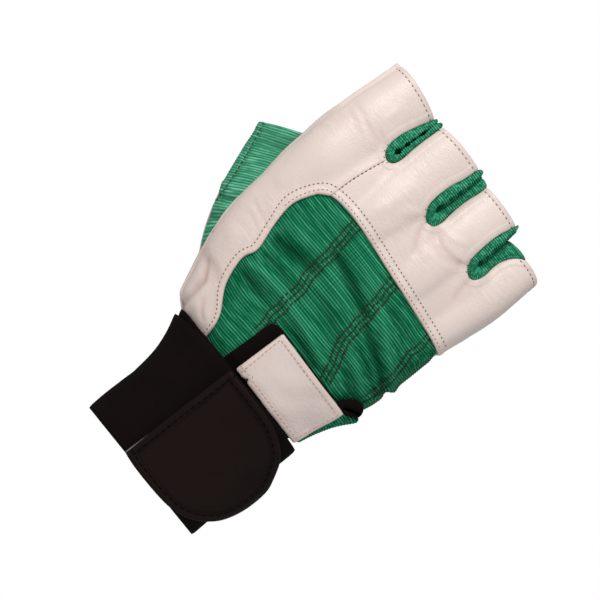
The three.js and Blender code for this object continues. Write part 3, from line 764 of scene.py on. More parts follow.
def remeshed(bodies):
    """The joined outer skin of several closed bodies, as one smooth mesh."""
    joined = bmesh.new()
    for bm in bodies:
        part = mesh_of(bm, "part")
        joined.from_mesh(part)
        bpy.data.meshes.remove(part)
    together = mesh_of(joined, "bodies")
    body = put("bodies", together)
    remesh = body.modifiers.new("remesh", "REMESH")
    remesh.mode = "VOXEL"
    remesh.voxel_size = size("skin_step")
    graph = bpy.context.evaluated_depsgraph_get()
    outer = bmesh.new()
    outer.from_mesh(body.evaluated_get(graph).to_mesh())
    bpy.data.objects.remove(body)
    bpy.data.meshes.remove(together)
    for _ in range(SKIN_ROUNDS):
        bmesh.ops.smooth_vert(outer, verts=outer.verts, factor=0.5,
                              use_axis_x=True, use_axis_y=True, use_axis_z=True)
    return outer


def hand_skin():
    """The glove's outer form: the hand, the fingers and the thumb as one skin."""
    def tube(table, point, top, segments):
        low, high = table[0].z, table[-1].z + top
        return closed_tube(lambda u, v: point(low + (high - low) * v, 2 * math.pi * u), *segments)

    bodies = [tube(HAND, hand_point, 0, HAND_GRID)]
    for table in [*FINGERS, THUMB]:
        bodies.append(tube(table, partial(tube_point, table), PAST_OPENING, TUBE_GRID))
    return remeshed(bodies)


kept = {}


def skin():
    """A copy of the glove's outer form to cut a piece from, with its fields and normals."""
    if "skin" not in kept:
        bm = hand_skin()
        co = places(bm)
        nearness = thumb_nearness(co)
        store(bm, opening=openings(co, nearness), thumb=thumb_zone(co, nearness),
              side=side_seam(co), slot=slots(co), wrist=co[:, 2] - WRIST_Z)
        keep_normals(bm)
        kept["skin_tree"] = BVHTree.FromBMesh(bm)
        kept["skin"] = mesh_of(bm, "skin")
    bm = bmesh.new()
    bm.from_mesh(kept["skin"])
    return bm


def skin_hit(origin, direction):
    """Where a ray meets the glove's outer form, or None."""
    if "skin_tree" not in kept:
        skin().free()
    return kept["skin_tree"].ray_cast(origin, direction)[0]


def places(bm):
    """The places of a bmesh's vertices, as rows of X, Y and Z."""
    return np.array([vert.co for vert in bm.verts], float).reshape(-1, 3)


def store(bm, **fields):
    """Stores values for each vertex, which cuts keep up to date."""
    for name, numbers in fields.items():
        layer = bm.verts.layers.float.get(name) or bm.verts.layers.float.new(name)
        for vert, value in zip(bm.verts, numbers):
            vert[layer] = value


def read(bm, name):
    """The values stored for the vertices under a name."""
    layer = bm.verts.layers.float.get(name)
    return np.array([vert[layer] for vert in bm.verts])


def keep_normals(bm):
    """Stores each vertex's normal, so that later cuts don't roughen it."""
    layer = bm.verts.layers.float_vector.get("out") or bm.verts.layers.float_vector.new("out")
    bm.normal_update()
    for vert in bm.verts:
        vert[layer] = vert.normal


def contour(bm, name):
    """Cuts the mesh along the line where a stored field is zero."""
    layer = bm.verts.layers.float.get(name)
    numbers = list(bm.verts.layers.float.values())
    on_line = set()

    def crossings():
        for edge in list(bm.edges):
            a, b = edge.verts
            if a[layer] * b[layer] < 0:
                yield edge, a, b

    for _, a, b in crossings():
        if a[layer] * b[layer] >= 0:
            continue
        near, far = (a, b) if abs(a[layer]) < abs(b[layer]) else (b, a)
        t = abs(near[layer]) / abs(a[layer] - b[layer])
        if t < SNAP and not near.is_boundary:
            near.co = near.co.lerp(far.co, t)
            for number in numbers:
                near[number] += (far[number] - near[number]) * t
            near[layer] = 0
            on_line.add(near)
    for edge, a, b in crossings():
        vert = bmesh.utils.edge_split(edge, a, abs(a[layer]) / abs(a[layer] - b[layer]))[1]
        vert[layer] = 0
        on_line.add(vert)
    bmesh.ops.connect_verts(bm, verts=list(on_line))


def drop_below(bm, name, level=0.0):
    """Takes away the faces that reach below a stored field's value."""
    layer = bm.verts.layers.float.get(name)
    faces = [face for face in bm.faces
             if min(vert[layer] for vert in face.verts) < level - SPIKE
             or sum(vert[layer] - level for vert in face.verts) < 0]
    bmesh.ops.delete(bm, geom=faces, context="FACES")


def refine(bm, name, reach):
    """Halves the grain of the mesh beside a field's edge."""
    layer = bm.verts.layers.float.get(name)
    edges = [edge for edge in bm.edges if max(abs(v[layer]) for v in edge.verts) < reach]
    bmesh.ops.subdivide_edges(bm, edges=edges, cuts=1, use_grid_fill=True)


def trim(bm, names):
    """Cuts the mesh to where each of the stored fields is positive."""
    for name in names:
        contour(bm, name)
        drop_below(bm, name)


def push(bm, heights):
    """Moves every vertex out along its kept normal."""
    layer = bm.verts.layers.float_vector.get("out")
    for vert, height in zip(bm.verts, heights):
        vert.co += vert[layer].normalized() * height


def ramp(value, low, high):
    """0 up to low, 1 from high, and a soft rise between them."""
    t = np.clip((value - low) / (high - low), 0, 1)
    return t * t * (3 - 2 * t)


def bell(value, width):
    """1 at zero, falling softly to both sides."""
    return np.exp(-(value / width) ** 2)


def folds(co, table):
    """Heights of soft folds, each along a line seen from the back."""
    total = np.zeros(len(co))
    for fold in table:
        line = smooth_line(fold.points)
        reach, along = nearest_on(line, co)
        length = sum(math.dist(*ends) for ends in zip(line, line[1:]))
        taper = 0.65 + 0.35 * np.sin(np.pi * along / length)
        total += fold.height * taper * bell(reach, fold.width)
    return total


def hem(distance, row, full=1.0, drop=0.7, ridge=0.22, groove=0.2):
    """Relief of a folded and stitched edge by the distance from it."""
    edge = np.clip(1 - distance / 0.9, 0, 1)
    down = -drop * (1 - np.sqrt(1 - edge ** 2))
    band = ridge * (1 - ramp(distance, row - 0.3, row + 0.9))
    return full * (down + band - groove * bell(distance - row, 0.45))


def lip(distance, height=1.1, width=1.5):
    """Relief of a seam whose two edges stand up together, with a groove beside it."""
    return height * np.clip(1 - distance / width, 0, 1) ** 1.5 - 0.3 * bell(distance - width, 0.5)


def unevenness(co, wide, height, seed=0.0):
    """Soft irregular dents."""
    shift = Vector((seed, 2 * seed, 3 * seed))
    return np.array([noise.noise(Vector(p) / wide + shift) * height for p in co])


def add_piece(name, bm, material, nodes=(), thick=0.0):
    """Finishes a piece: metres, its material, its wall and its place in the frame."""
    kept[name] = BVHTree.FromBMesh(bm)
    bmesh.ops.scale(bm, vec=(MM, MM, MM), verts=bm.verts)
    mesh = mesh_of(bm, name)
    mesh.polygons.foreach_set("use_smooth", [True] * len(mesh.polygons))
    mesh.materials.append(material_of(material))
    piece = put(name, mesh)
    if thick:
        wall = piece.modifiers.new("wall", "SOLIDIFY")
        wall.thickness = thick * MM
        wall.offset = -1
        wall.use_rim = True
    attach(piece, "root")
    if nodes:
        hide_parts(*nodes)
    if name in SHEETS:
        cut = SHEETS[name]
        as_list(cut.rests_on)


# Materials

class Nodes:
    """A short way to build one material's nodes."""

    def __init__(self, name):
        self.material = bpy.data.materials.new(name)
        self.material.use_nodes = True
        self.tree = self.material.node_tree
        self.tree.nodes.clear()
        self.shader = self.node("BsdfPrincipled")
        self.node("OutputMaterial", {0: self.shader.outputs[0]})
        self.place = self.node("TexCoord")

    def feed(self, sockets, values):
        """Sets sockets to numbers and colours, or links other nodes' results to them."""
        for key, value in values.items():
            if isinstance(value, bpy.types.NodeSocket):
                self.tree.links.new(value, sockets[key])
            elif sockets[key].type == "RGBA":
                sockets[key].default_value = (*value[:3], 1.0)
            else:
                sockets[key].default_value = value

    def node(self, kind, inputs=None, **settings):
        """A new node with its settings and what feeds its sockets."""
        made = self.tree.nodes.new("ShaderNode" + kind)
        for key, value in settings.items():
            setattr(made, key, value)
        self.feed(made.inputs, inputs or {})
        return made

    def mapped(self, scale=(1, 1, 1), source="Object", turn=(0, 0, 0)):
        """Coordinates, scaled and turned."""
        return self.node("Mapping", {"Vector": self.place.outputs[source], "Scale": scale,
                                     "Rotation": turn}).outputs[0]

    def noise(self, vector, scale=1.0, detail=2.0, rough=0.5, distortion=0.0):
        """Soft noise."""
        return self.node("TexNoise", {"Vector": vector, "Scale": scale, "Detail": detail,
                                      "Roughness": rough,
                                      "Distortion": distortion}).outputs["Fac"]

    def cells(self, vector, scale, feature="F1"):
        """Distance from the middles of small cells."""
        return self.node("TexVoronoi", {"Vector": vector, "Scale": scale},
                         feature=feature).outputs["Distance"]

    def attribute(self, name):
        """A value stored on the mesh."""
        return self.node("Attribute", attribute_name=name).outputs["Fac"]

    def math(self, operation, first, second=0.0, clamp=False):
        """One operation on two numbers."""
        return self.node("Math", {0: first, 1: second}, operation=operation,
                         use_clamp=clamp).outputs[0]

    def times(self, first, second):
        """A product."""
        return self.math("MULTIPLY", first, second)

    def plus(self, first, second, share):
        """A value with a share of another one added."""
        return self.math("ADD", first, self.times(second, share))

    def ridges(self, value):
        """How far a noise lies from its middle, which makes thin lines."""
        return self.math("ABSOLUTE", self.math("SUBTRACT", value, 0.5))

    def spread(self, value, low, high, to_low=0.0, to_high=1.0):
        """A value's range from low to high, laid over another one."""
        return self.node("MapRange", dict(enumerate((value, low, high, to_low, to_high))),
                         clamp=True).outputs[0]

    def mix(self, share, first, second):
        """The second colour over the first one by a share."""
        return self.node("Mix", {0: share, 6: first, 7: second}, data_type="RGBA").outputs[2]

    def over(self, base, share, full, tint):
        """A colour laid over base where share is high, by full at most."""
        return self.mix(self.times(share, full), base, tint)

    def bump(self, height, distance, strength=1.0, after=None):
        """Relief, on top of another one if given."""
        inputs = {"Strength": strength, "Distance": distance, "Height": height}
        if after:
            inputs["Normal"] = after
        return self.node("Bump", inputs).outputs[0]

    def finish(self, tint, roughness, normal, specular=0.5):
        """The finished material."""
        self.feed(self.shader.inputs, {"Base Color": tint, "Roughness": roughness,
                                       "Normal": normal, "Specular IOR Level": specular})
        return self.material


def leather_material():
    """Soft white leather with fine grain, small creases and rays of creases at the webs; painted
    shade darkens its creases, fold hollows and folded edges.
    """
    n = Nodes("soft_leather")
    plain = n.mapped()
    grain = n.cells(plain, 1500, "SMOOTH_F1")
    pores = n.noise(plain, 2600, 2)
    wide = n.noise(plain, 45, 3, 0.55)
    star = n.attribute("star")
    # Where creases show, more near the webs: as bumps and as painted shade in their lines
    worn = n.math("ADD", n.spread(n.noise(plain, 36, 2), 0.46, 0.66), n.times(star, 0.7),
                  clamp=True)
    lines = n.ridges(n.noise(n.mapped((120, 120, 420), turn=(0, 0.5, 0)), 1, 4, 0.6, 0.8))
    # Painted shade in the fine crease lines
    crease_shade = n.times(n.spread(lines, 0.0, 0.05, 1.0, 0.0), worn)
    turn = n.node("CombineXYZ", {0: n.attribute("ray"), 1: n.times(wide, 0.6)}).outputs[0]
    rays = n.times(n.ridges(n.noise(turn, 2.6, 3, 0.6)), star)
    hem = n.attribute("hem")
    # Painted shade close to the folded edges, where they roll under
    edge = n.spread(hem, 0.0, 1.2, 1.0, 0.0)
    band = n.times(n.spread(hem, 2.2, 3.2, 1.0, 0.0), n.attribute("banded"))
    dark = colour("leather_painted_shade")
    clouded = [c * share for c, share in zip(colour("leather"), (0.93, 0.90, 0.89))]
    base = n.mix(n.spread(wide, 0.3, 0.75, 0.0, 0.35), colour("leather"), clouded)
    base = n.over(base, band, 0.5, colour("leather_band"))
    # Painted shade in the crease lines
    base = n.over(base, crease_shade, 0.17, dark)
    # Painted shade along the folded edges
    base = n.over(base, edge, 0.34, dark)
    # Painted shade in the hollows of the folds
    base = n.over(base, n.attribute("hollow"), 0.55, dark)
    normal = n.bump(n.plus(grain, pores, 0.5), 0.00006)
    normal = n.bump(n.times(lines, worn), 0.0007, 0.6, normal)
    normal = n.bump(rays, 0.0016, 0.35, normal)
    normal = n.bump(wide, 0.0014, 0.3, normal)
    return n.finish(base, n.spread(pores, 0.3, 0.7, 0.36, 0.5), normal)


def cloth_material(name, body, light, valley=0.2, weave=0.55, streak=(0.11, 1.0)):
    """Ribbed cloth with light yarns and darker patches; painted shade between its ribs and beads,
    in fold hollows and slits and along stitched grooves, and painted light on fold crests; its UV
    map has millimetres and ribs.
    """
    n = Nodes(name)
    yarn = n.noise(n.mapped((*streak, 1), "UV"), 1.0, 3, 0.65)
    tone = n.noise(n.mapped((0.03, 0.2, 1), "UV"), 1.0, 2)
    cross = n.node("TexWave", {"Vector": n.mapped(source="UV"), "Scale": WAVE_SPAN / weave,
                               "Distortion": 1.2},
                   wave_type="BANDS", bands_direction="X", wave_profile="SIN")
    bead = cross.outputs["Fac"]
    # The colour of painted shade: the ground made darker by the valley share
    light, dark = colour(light), colour(body, valley)
    base = n.mix(n.spread(yarn, 0.40, 0.62), colour(body), light)
    base = n.mix(n.spread(tone, 0.35, 0.7, 0.0, 0.4), base, colour(body, 0.8))
    # Painted light on the crests of folds
    base = n.over(base, n.attribute("crest"), 0.45, light)
    base = n.over(base, n.attribute("bound"), 0.75, colour("cloth_edge"))
    # Painted shade in the valleys between the ribs and between the beads of the weave
    base = n.mix(n.spread(n.attribute("rib"), 0.0, 0.8, 0.92, 0.0), base, dark)
    base = n.mix(n.spread(bead, 0.1, 0.6, 0.25, 0.0), base, dark)
    # Painted shade in the hollows of folds and in the gussets' slits
    base = n.over(base, n.attribute("hollow"), 0.66, dark)
    # Painted shade in the grooves pulled in along the rows of stitches
    base = n.over(base, n.attribute("seam"), 0.35, dark)
    normal = n.bump(n.plus(bead, n.noise(n.mapped(), 3200, 2), 0.8), 0.00010)
    return n.finish(base, 0.85, normal, 0.06)


def elastic_material():
    """Matt black elastic with a fine knitted face."""
    n = Nodes("black_elastic")
    plain = n.mapped()
    knit = n.cells(n.mapped((1, 1, 0.6)), 1900)
    cloud = n.noise(plain, 70, 3)
    base = n.mix(n.spread(cloud, 0.3, 0.75), colour("elastic"), colour("elastic", 1.5))
    base = n.mix(n.spread(knit, 0.1, 0.5, 0.0, 0.4), base, colour("elastic", 1.9))
    normal = n.bump(n.plus(knit, n.noise(plain, 2600, 3), 0.7), 0.00012)
    return n.finish(base, 0.95, n.bump(cloud, 0.0015, 0.4, normal), 0.04)


def coated_material():
    """Smooth coated cloth with a soft gloss, a faint grain and painted shade in its border's
    grooves.
    """
    n = Nodes("coated_cloth")
    plain = n.mapped()
    cloud = n.noise(plain, 38, 3)
    scuff = n.noise(n.mapped((240, 240, 900), turn=(0, 0.6, 0)), 1, 3)
    base = n.mix(n.spread(cloud, 0.3, 0.75), colour("coated"), colour("coated", 1.35))
    base = n.mix(n.spread(scuff, 0.62, 0.8, 0.0, 0.2), base, colour("coated", 2.2))
    # Painted shade at the foot of the raised border and in the stitch row's groove
    base = n.over(base, n.attribute("pressed"), 0.8, colour("coated", 0.25))
    base = n.mix(n.attribute("raw"), base, colour("raw_edge"))
    normal = n.bump(n.cells(plain, 1300, "SMOOTH_F1"), 0.00005, 0.8)
    normal = n.bump(cloud, 0.001, 0.3, normal)
    return n.finish(base, n.spread(scuff, 0.3, 0.7, 0.52, 0.66), normal, 0.09)


def thread_material(name, tint, gloss=0.2):
    """Twisted sewing thread."""
    n = Nodes(name)
    twist = n.noise(n.mapped((900, 900, 2200)), 1, 2)
    light = [min(c, 1) for c in colour(tint, 1.9)]
    base = n.mix(n.spread(twist, 0.3, 0.7), colour(tint), light)
    return n.finish(base, 0.7, n.bump(twist, 0.00008), gloss)


# Numbers after a cloth's colours: the share of its ground left in its painted shade, its weave
# pitch and its streaks' scale
MATERIALS = {
    "leather": leather_material,
    "cloth": partial(cloth_material, "ribbed_cloth", "cloth", "cloth_light"),
    "thumb": partial(cloth_material, "thumb_cloth", "thumb_cloth", "thumb_light", 0.45),
    "knit": partial(cloth_material, "gusset_knit", "knit", "knit_light", 0.3, 0.8, (0.8, 0.5)),
    "elastic": elastic_material,
    "coated": coated_material,
    "thread": partial(thread_material, "leather_thread", "thread"),
    "cloth_thread": partial(thread_material, "cloth_thread", "cloth_thread"),
    "patch_thread": partial(thread_material, "patch_thread", "patch_thread"),
    "black_thread": partial(thread_material, "black_thread", "black_thread", 0.05),
}


def material_of(name):
    """A material, made when a piece first asks for it."""
    key = "material_" + name
    if key not in kept:
        kept[key] = MATERIALS[name]()
    return kept[key]


# Pieces

def star_rays(co):
    """The direction of points from the nearest web, and how strongly creases show there."""
    away = co[:, None, ::2] - np.array(STARS)[None]
    reach = np.hypot(away[..., 0], away[..., 1])
    nearest = reach.argmin(1)
    rows = np.arange(len(co))
    aside = away[rows, nearest]
    near = bell(reach[rows, nearest] - STAR_FROM, STAR_REACH) * (co[:, 1] < STAR_MAX_Y)
    return np.arctan2(aside[:, 0], -aside[:, 1]), near


def leather_panel(name, node, edges, table, reach=LEATHER_REACH):
    """One leather piece cut from the skin, with folded edges and a seam lip at its side."""
    bm = skin()
    for key in ["wrist", "side", *edges]:
        drop_below(bm, key, -ROUGH_MARGIN)
    for key in ["side", *edges]:
        refine(bm, key, reach)
    trim(bm, ["wrist", "side", *edges])
    co = places(bm)
    fold = folds(co, table)
    x, z = co[:, 0], co[:, 2]
    raised = np.where(x > 0, ramp(z, LIP_FROM, LIP_TO) * (1 - LIP_SUNK) + LIP_SUNK, 1.0)
    height = LEATHER_OVER + fold + unevenness(co, 14, 0.35) + raised * lip(read(bm, "side"))
    butted = ramp(z, BUTTED_FROM, BUTTED_TO)
    for key in edges:
        full = 1 - BUTTED_FLATTER * butted if key in ("index", "knuckle") else 1.0
        row = OPENING_HEM if key == "opening" else size("hem_width")
        height += hem(read(bm, key), row, full, EDGE_DROPS.get(key, EDGE_DROP))
    ray, star = star_rays(co)
    # For the material: the distance to the folded edges, which get painted shade close by, and the
    # fold hollows, which get painted shade
    store(bm, hem=np.min([read(bm, key) for key in edges], axis=0),
          hollow=np.clip(-fold, 0, 1), banded=1 - butted, ray=ray, star=star)
    push(bm, height)
    add_piece(name, bm, "leather", [node], size("leather_thick"))


def outward(bm, middle):
    """Turns all faces away from middle, which gives the point inside for a place."""
    bm.normal_update()
    facing = 0.0
    for face in bm.faces:
        centre = face.calc_center_median()
        facing += face.normal.dot(centre - middle(centre)) * face.calc_area()
    if facing < 0:
        bmesh.ops.reverse_faces(bm, faces=bm.faces)
    keep_normals(bm)


def crown_outward(bm, depth):
    """Turns all faces so that those before a depth face out of the back of the hand."""
    bm.normal_update()
    crown = [face for face in bm.faces if face.calc_center_median().y < depth]
    if sum(face.normal.y for face in crown) > 0:
        bmesh.ops.reverse_faces(bm, faces=bm.faces)
    keep_normals(bm)


def ribbed(bm, ribs, height):
    """Stores where the ribs are, 0 in a valley and 1 on a rib, for painted shade in the valleys,
    and gives their relief.
    """
    rib = 0.5 - 0.5 * np.cos(2 * np.pi * read(bm, "v") * ribs)
    store(bm, rib=rib)
    return rib * height


def shade(bm, fold, full):
    """Stores how deep in a fold and how high on a crest each place lies, for painted shade in the
    hollows and painted light on the crests.
    """
    store(bm, hollow=np.clip(-fold / full, 0, 1), crest=np.clip(fold / full, 0, 1))


def offset_line(line, shift):
    """A line seen from the back, moved sideways: to its left for a positive shift."""
    line = np.array(line, float)
    step = np.gradient(line, axis=0)
    step /= np.hypot(step[:, 0], step[:, 1])[:, None]
    return line + np.column_stack([-step[:, 1], step[:, 0]]) * shift


def inset_line(outline, inset):
    """A closed outline's line, a set distance inside its straight and curved sides."""
    ring = smooth_line(outline, 1 if len(outline) < 9 else 4)
    ring = np.array([*ring, ring[0]], float)
    turning = np.sum(ring[:-1, 0] * ring[1:, 1] - ring[1:, 0] * ring[:-1, 1])
    return offset_line(ring, math.copysign(inset, turning))


def band_lines(band):
    """A band's rows, each wandering a little as sewn cloth does."""
    middle = [(x + BAND_WANDER * noise.noise((x / 9, z / 6, 5.0)), z)
              for x, z in smooth_line(band.points)]
    return [offset_line(middle, shift) for shift in band.shifts]


def back_cloth():
    """The ribbed panel on the back of the hand, tucked under the leather round it."""
    ribs = round((BACK_HIGH - BACK_LOW) / size("rib_pitch"))

    def place(u, v):
        angle = math.pi * (BACK_FROM + (BACK_TO - BACK_FROM) * u)
        z = BACK_LOW + (BACK_HIGH - BACK_LOW) * v
        z += RIB_WANDER * noise.noise((angle * 2.2, z / 17, 4.0))
        row = row_at(HAND, z)
        origin = Vector(((row.radial + row.ulnar) / 2, 0, z))
        way = hand_point(z, angle) - origin
        return skin_hit(origin, Vector((way.x, way.y, 0)))

    bm = grid(place, BACK_COLUMNS, ribs * ROWS_PER_RIB, (BACK_WIDE, ribs))
    outward(bm, lambda co: Vector((co.x, 0, co.z)))
    co = places(bm)
    store(bm, panel=area(panel_outline())(co) + TUCK, side=side_seam(co))
    trim(bm, ["panel", "side"])
    co, side = places(bm), read(bm, "side")
    panel = read(bm, "panel") - TUCK
    fold = folds(co, CLOTH_FOLDS) * ramp(panel, 0.0, 4.0)
    height = SUNK + 0.85 * ramp(panel, 0.2, 5.0) + fold
    height += ribbed(bm, ribs, size("rib_height")) + unevenness(co, 13, 0.4, 3.0)
    height += lip(side, 1.3, 1.8)
    seam = np.zeros(len(co))
    for band in CLOTH_BANDS:
        for line in band_lines(band):
            seam = np.maximum(seam, bell(nearest_on(line, co)[0], 0.55))
        height += 0.35 * bell(nearest_on(smooth_line(band.points), co)[0], 2.4)
    # The rows of stitches are stored for painted shade in their grooves; bound is the overcast
    # side seam
    store(bm, seam=seam, bound=1 - ramp(side, 1.3, 2.0))
    shade(bm, fold, 1.7)
    push(bm, height - 0.5 * seam)
    add_piece("cloth_back", bm, "cloth", ["back_panel"], size("cloth_thick"))


def thumb_cloth():
    """The thumb's ribbed sleeve, with a folded edge at its opening."""
    top = THUMB[-1].z + THUMB_PAST
    ribs = round((top - THUMB_LOW) * THUMB_SLANT / (size("rib_pitch") * THUMB_STRETCH))

    def place(u, v):
        angle = 2 * math.pi * u
        z = THUMB_LOW + (top - THUMB_LOW) * v
        z += THUMB_SHEAR * (1 - v) ** 1.5 * math.cos(angle)
        z += RIB_WANDER * 0.6 * noise.noise((angle, z / 12, 9.0))
        row = row_at(THUMB, z)
        origin = Vector(row[:3]) + tube_axes(row)[2] * max(z - THUMB[-1].z, 0)
        outer = tube_point(THUMB, z, angle)
        hit = skin_hit(origin, outer - origin)
        far = origin + (outer - origin) * THUMB_REACH
        if hit is None or (hit - origin).length > (far - origin).length:
            return far
        return hit

    bm = grid(place, THUMB_COLUMNS, ribs * ROWS_PER_RIB, (THUMB_WIDE, ribs))
    outward(bm, lambda co: Vector(row_at(THUMB, co.z)[:3]))
    co = places(bm)
    store(bm, thumb=thumb_zone(co, thumb_nearness(co)) + TUCK, side=THUMB_TUCK - side_seam(co),
          opening=depth_in(THUMB, co))
    trim(bm, ["thumb", "side", "opening"])
    co = places(bm)
    fold = folds(co, THUMB_FOLDS)
    height = SUNK + 0.8 * ramp(read(bm, "thumb") - TUCK, 0.2, 4.0)
    height += unevenness(co, 11, 0.35, 7.0) + fold + ribbed(bm, ribs, size("rib_height"))
    height += hem(read(bm, "opening"), THUMB_HEM, 1.0, 0.7, 0.3, 0.15)
    groove = bell(nearest_on(THUMB_STRIP, co)[0], 0.5)
    height += 0.5 * ramp(outer_side(THUMB_STRIP)(co), 0.2, 1.0) - 0.4 * groove
    # The strip's groove is stored for painted shade
    store(bm, seam=groove)
    shade(bm, fold, 0.9)
    push(bm, height)
    add_piece("cloth_thumb", bm, "thumb", ["thumb_sleeve"], size("cloth_thick"))


def skin_depth(x, z, side):
    """Y of the glove's outer form at X and Z, on the back for side -1 and the palm for 1."""
    hit = skin_hit(Vector((x, side * FAR, z)), Vector((0, -side, 0)))
    return hit.y if hit else math.nan


def gusset_path(g):
    """Places round a gusset: its border with the leather, and the slit's line beside it."""
    line = np.array(smooth_line(g.border))
    length = run_along(line)
    ribs = round(length[-1] / KNIT_PITCH)
    path = []
    for at in np.linspace(0, length[-1], ribs * ROWS_PER_RIB + 1):
        x, z = np.interp(at, length, line[:, 0]), np.interp(at, length, line[:, 1])
        height = max(z, g.slit[0][1])
        path.append((Vector((x, z)), Vector((slit_x(g, height), height))))
    return path


def even(depths, reach=9):
    """Depths with their gaps filled, averaged with their neighbours."""
    rows, known = np.arange(len(depths)), ~np.isnan(depths)
    padded = np.pad(np.interp(rows, rows[known], depths[known]), reach, mode="edge")
    return np.convolve(padded, np.ones(2 * reach + 1) / (2 * reach + 1), "valid")


def gusset(number):
    """The knitted lips between two fingers, round the slit and down to the palm."""
    g = GUSSETS[number]
    path = gusset_path(g)
    back, palm = (even(np.array([skin_depth(*edge, side) for edge, _ in path]))
                  for side in (-1, 1))
    sections, holes = [], []
    for k, (edge, slit) in enumerate(path):
        inward = slit - edge
        width = inward.length
        inward.normalize()
        hole = sum(wide * math.exp(-((slit.y - z) / long) ** 2) for z, long, wide in g.holes)
        holes.append(hole)
        points = []
        for row in LIP_PROFILE:
            open_here = hole if row.face == "back" and row.depth < HOLE_DEPTH else 0
            n = min(row.share * width + row.inward, width - SLIT_GAP - open_here)
            flat = edge + inward * n
            depth = row.depth + SIDE_SAG * max(width - 4, 0) * (max(n, 0) / width) ** 2
            y = back[k] + depth if row.face == "back" else palm[k] - depth
            points.append((flat.x + row.bend, y, flat.y))
        sections.append(smooth_line(points, 4))
    columns, last = len(sections[0]) - 1, len(sections) - 1
    ribs = last // ROWS_PER_RIB

    def place(u, v):
        return Vector(sections[round(v * last)][round(u * columns)])

    bm = grid(place, columns, last, (LIP_WIDE, ribs))
    crown_outward(bm, back.min() + CROWN_DEPTH)
    co = places(bm)
    before, after = (depth_in(FINGERS[finger], co) for finger in (number, number + 1))
    off_crown = np.minimum(((read(bm, "u") - LIP_CROWN) / LIP_HALF) ** 2, 1)
    store(bm, opening=np.where(read(bm, "v") < 0.5, before, after)
          + LIP_PAST - LIP_BACK_OFF * off_crown)
    trim(bm, ["opening"])
    relief = ribbed(bm, ribs, KNIT_HEIGHT) * ramp(read(bm, "opening"), 0.0, 0.7)
    open_here = np.interp(read(bm, "v"), np.linspace(0, 1, len(holes)), holes)
    # Painted shade in the slit, stronger where it stands open
    store(bm, hollow=(SLIT_SHADE_STRENGTH + open_here) * ramp(read(bm, "u"), *SLIT_SHADE))
    push(bm, relief + unevenness(places(bm), 4, 0.3, number * 3.0))
    add_piece("knit_" + g.name, bm, "knit", [g.name], KNIT_THICK)


def wrist_point(angle, grow):
    """A point of the wrist's section at its lower edge, moved out by grow."""
    wrist = HAND[0]
    middle = (wrist.radial + wrist.ulnar) / 2
    dx = ((wrist.ulnar - wrist.radial) / 2 + grow) * squared(math.cos(angle), wrist.square)
    dy = (wrist.palm + grow) * squared(math.sin(angle), wrist.square)
    return middle + dx, dy + wrist.tilt * dx


def wrist_wrap():
    """The elastic strip wound round the wrist, a little lower on its second turn."""
    wrist = HAND[0]

    def place(u, v):
        turn = WRAP_TURNS * u
        angle = WRAP_START + 2 * math.pi * turn
        x, y = wrist_point(angle, WRAP_CLEAR + WRAP_PITCH * turn + WRAP_THICK)
        drop = WRAP_DROP * math.exp(-((turn - DROP_TURN) / DROP_HALF) ** 2)
        z = WRAP_BOTTOM + WRAP_HEIGHT * v - drop * v
        if x < 0:
            x *= row_at(HAND, min(z, WRAP_FLARE_TOP)).radial / wrist.radial
        return Vector((x, y, z - wrist.tip * y))

    bm = grid(place, *WRAP_GRID)
    outward(bm, lambda co: Vector((0, 0, co.z)))
    v = read(bm, "v")
    edge = np.minimum(v, 1 - v) * WRAP_HEIGHT
    push(bm, unevenness(places(bm), 16, 0.5, 5.0) - 0.35 * (1 - ramp(edge, 0, 1.4)))
    add_piece("wrap_elastic", bm, "elastic", ["wrist_wrap"], WRAP_THICK)


def closing_flap():
    """The wrap's coated end flap, with a raised and stitched border and a bare face."""
    lowest = WRAP_CLEAR + WRAP_PITCH * WRAP_TURNS + WRAP_THICK + GAP + FLAP_THICK

    def place(u, v):
        angle = math.pi * (FLAP_FROM + (FLAP_TO - FLAP_FROM) * u)
        x, y = wrist_point(angle, lowest + FLAP_STAND * u * u)
        return Vector((x, y, FLAP_TALL * v))

    bm = grid(place, *FLAP_GRID)
    outward(bm, lambda co: Vector((0, 0, co.z)))
    store(bm, edge=area(smooth_line(FLAP_OUTLINE, 4))(places(bm)))
    trim(bm, ["edge"])
    edge = read(bm, "edge")
    co = places(bm)
    height = 0.4 * (1 - ramp(edge, FLAP_BORDER - 0.4, FLAP_BORDER + 0.1))
    height -= 0.45 * (1 - ramp(edge, 0, 0.8)) + 0.25 * bell(edge - FLAP_ROW, 0.4)
    height += unevenness(co, 15, 0.35, 11.0)
    # Painted shade at the foot of the raised border and in the stitch row's groove
    pressed = np.maximum(bell(edge - FLAP_BORDER - 0.2, 0.35), 0.7 * bell(edge - FLAP_ROW, 0.35))
    base = ramp(-co[:, 0], -FLAP_RAW_X, 1 - FLAP_RAW_X) * (1 - ramp(co[:, 2], 3, FLAP_RAW_Z))
    store(bm, pressed=pressed, raw=base * (1 - ramp(edge, 0.1, 0.35)))
    push(bm, height)
    add_piece("flap_coated", bm, "coated", ["closure_flap"], FLAP_THICK)


def closure_point(z, angle, grow):
    """A point of the closing tab's layers: on the hand, standing off at its ulnar side."""
    point = hand_point(z, angle, grow)
    high = FOLD_LOW + (1 - FOLD_LOW) * float(ramp(z, FOLD_FROM_Z, FOLD_TO_Z))
    high *= 1 - float(ramp(point.y, FOLD_FROM_Y, FOLD_TO_Y))
    point.x += FOLD_RISE * high * float(ramp(point.x, FOLD_FROM_X, FOLD_TO_X))
    return point


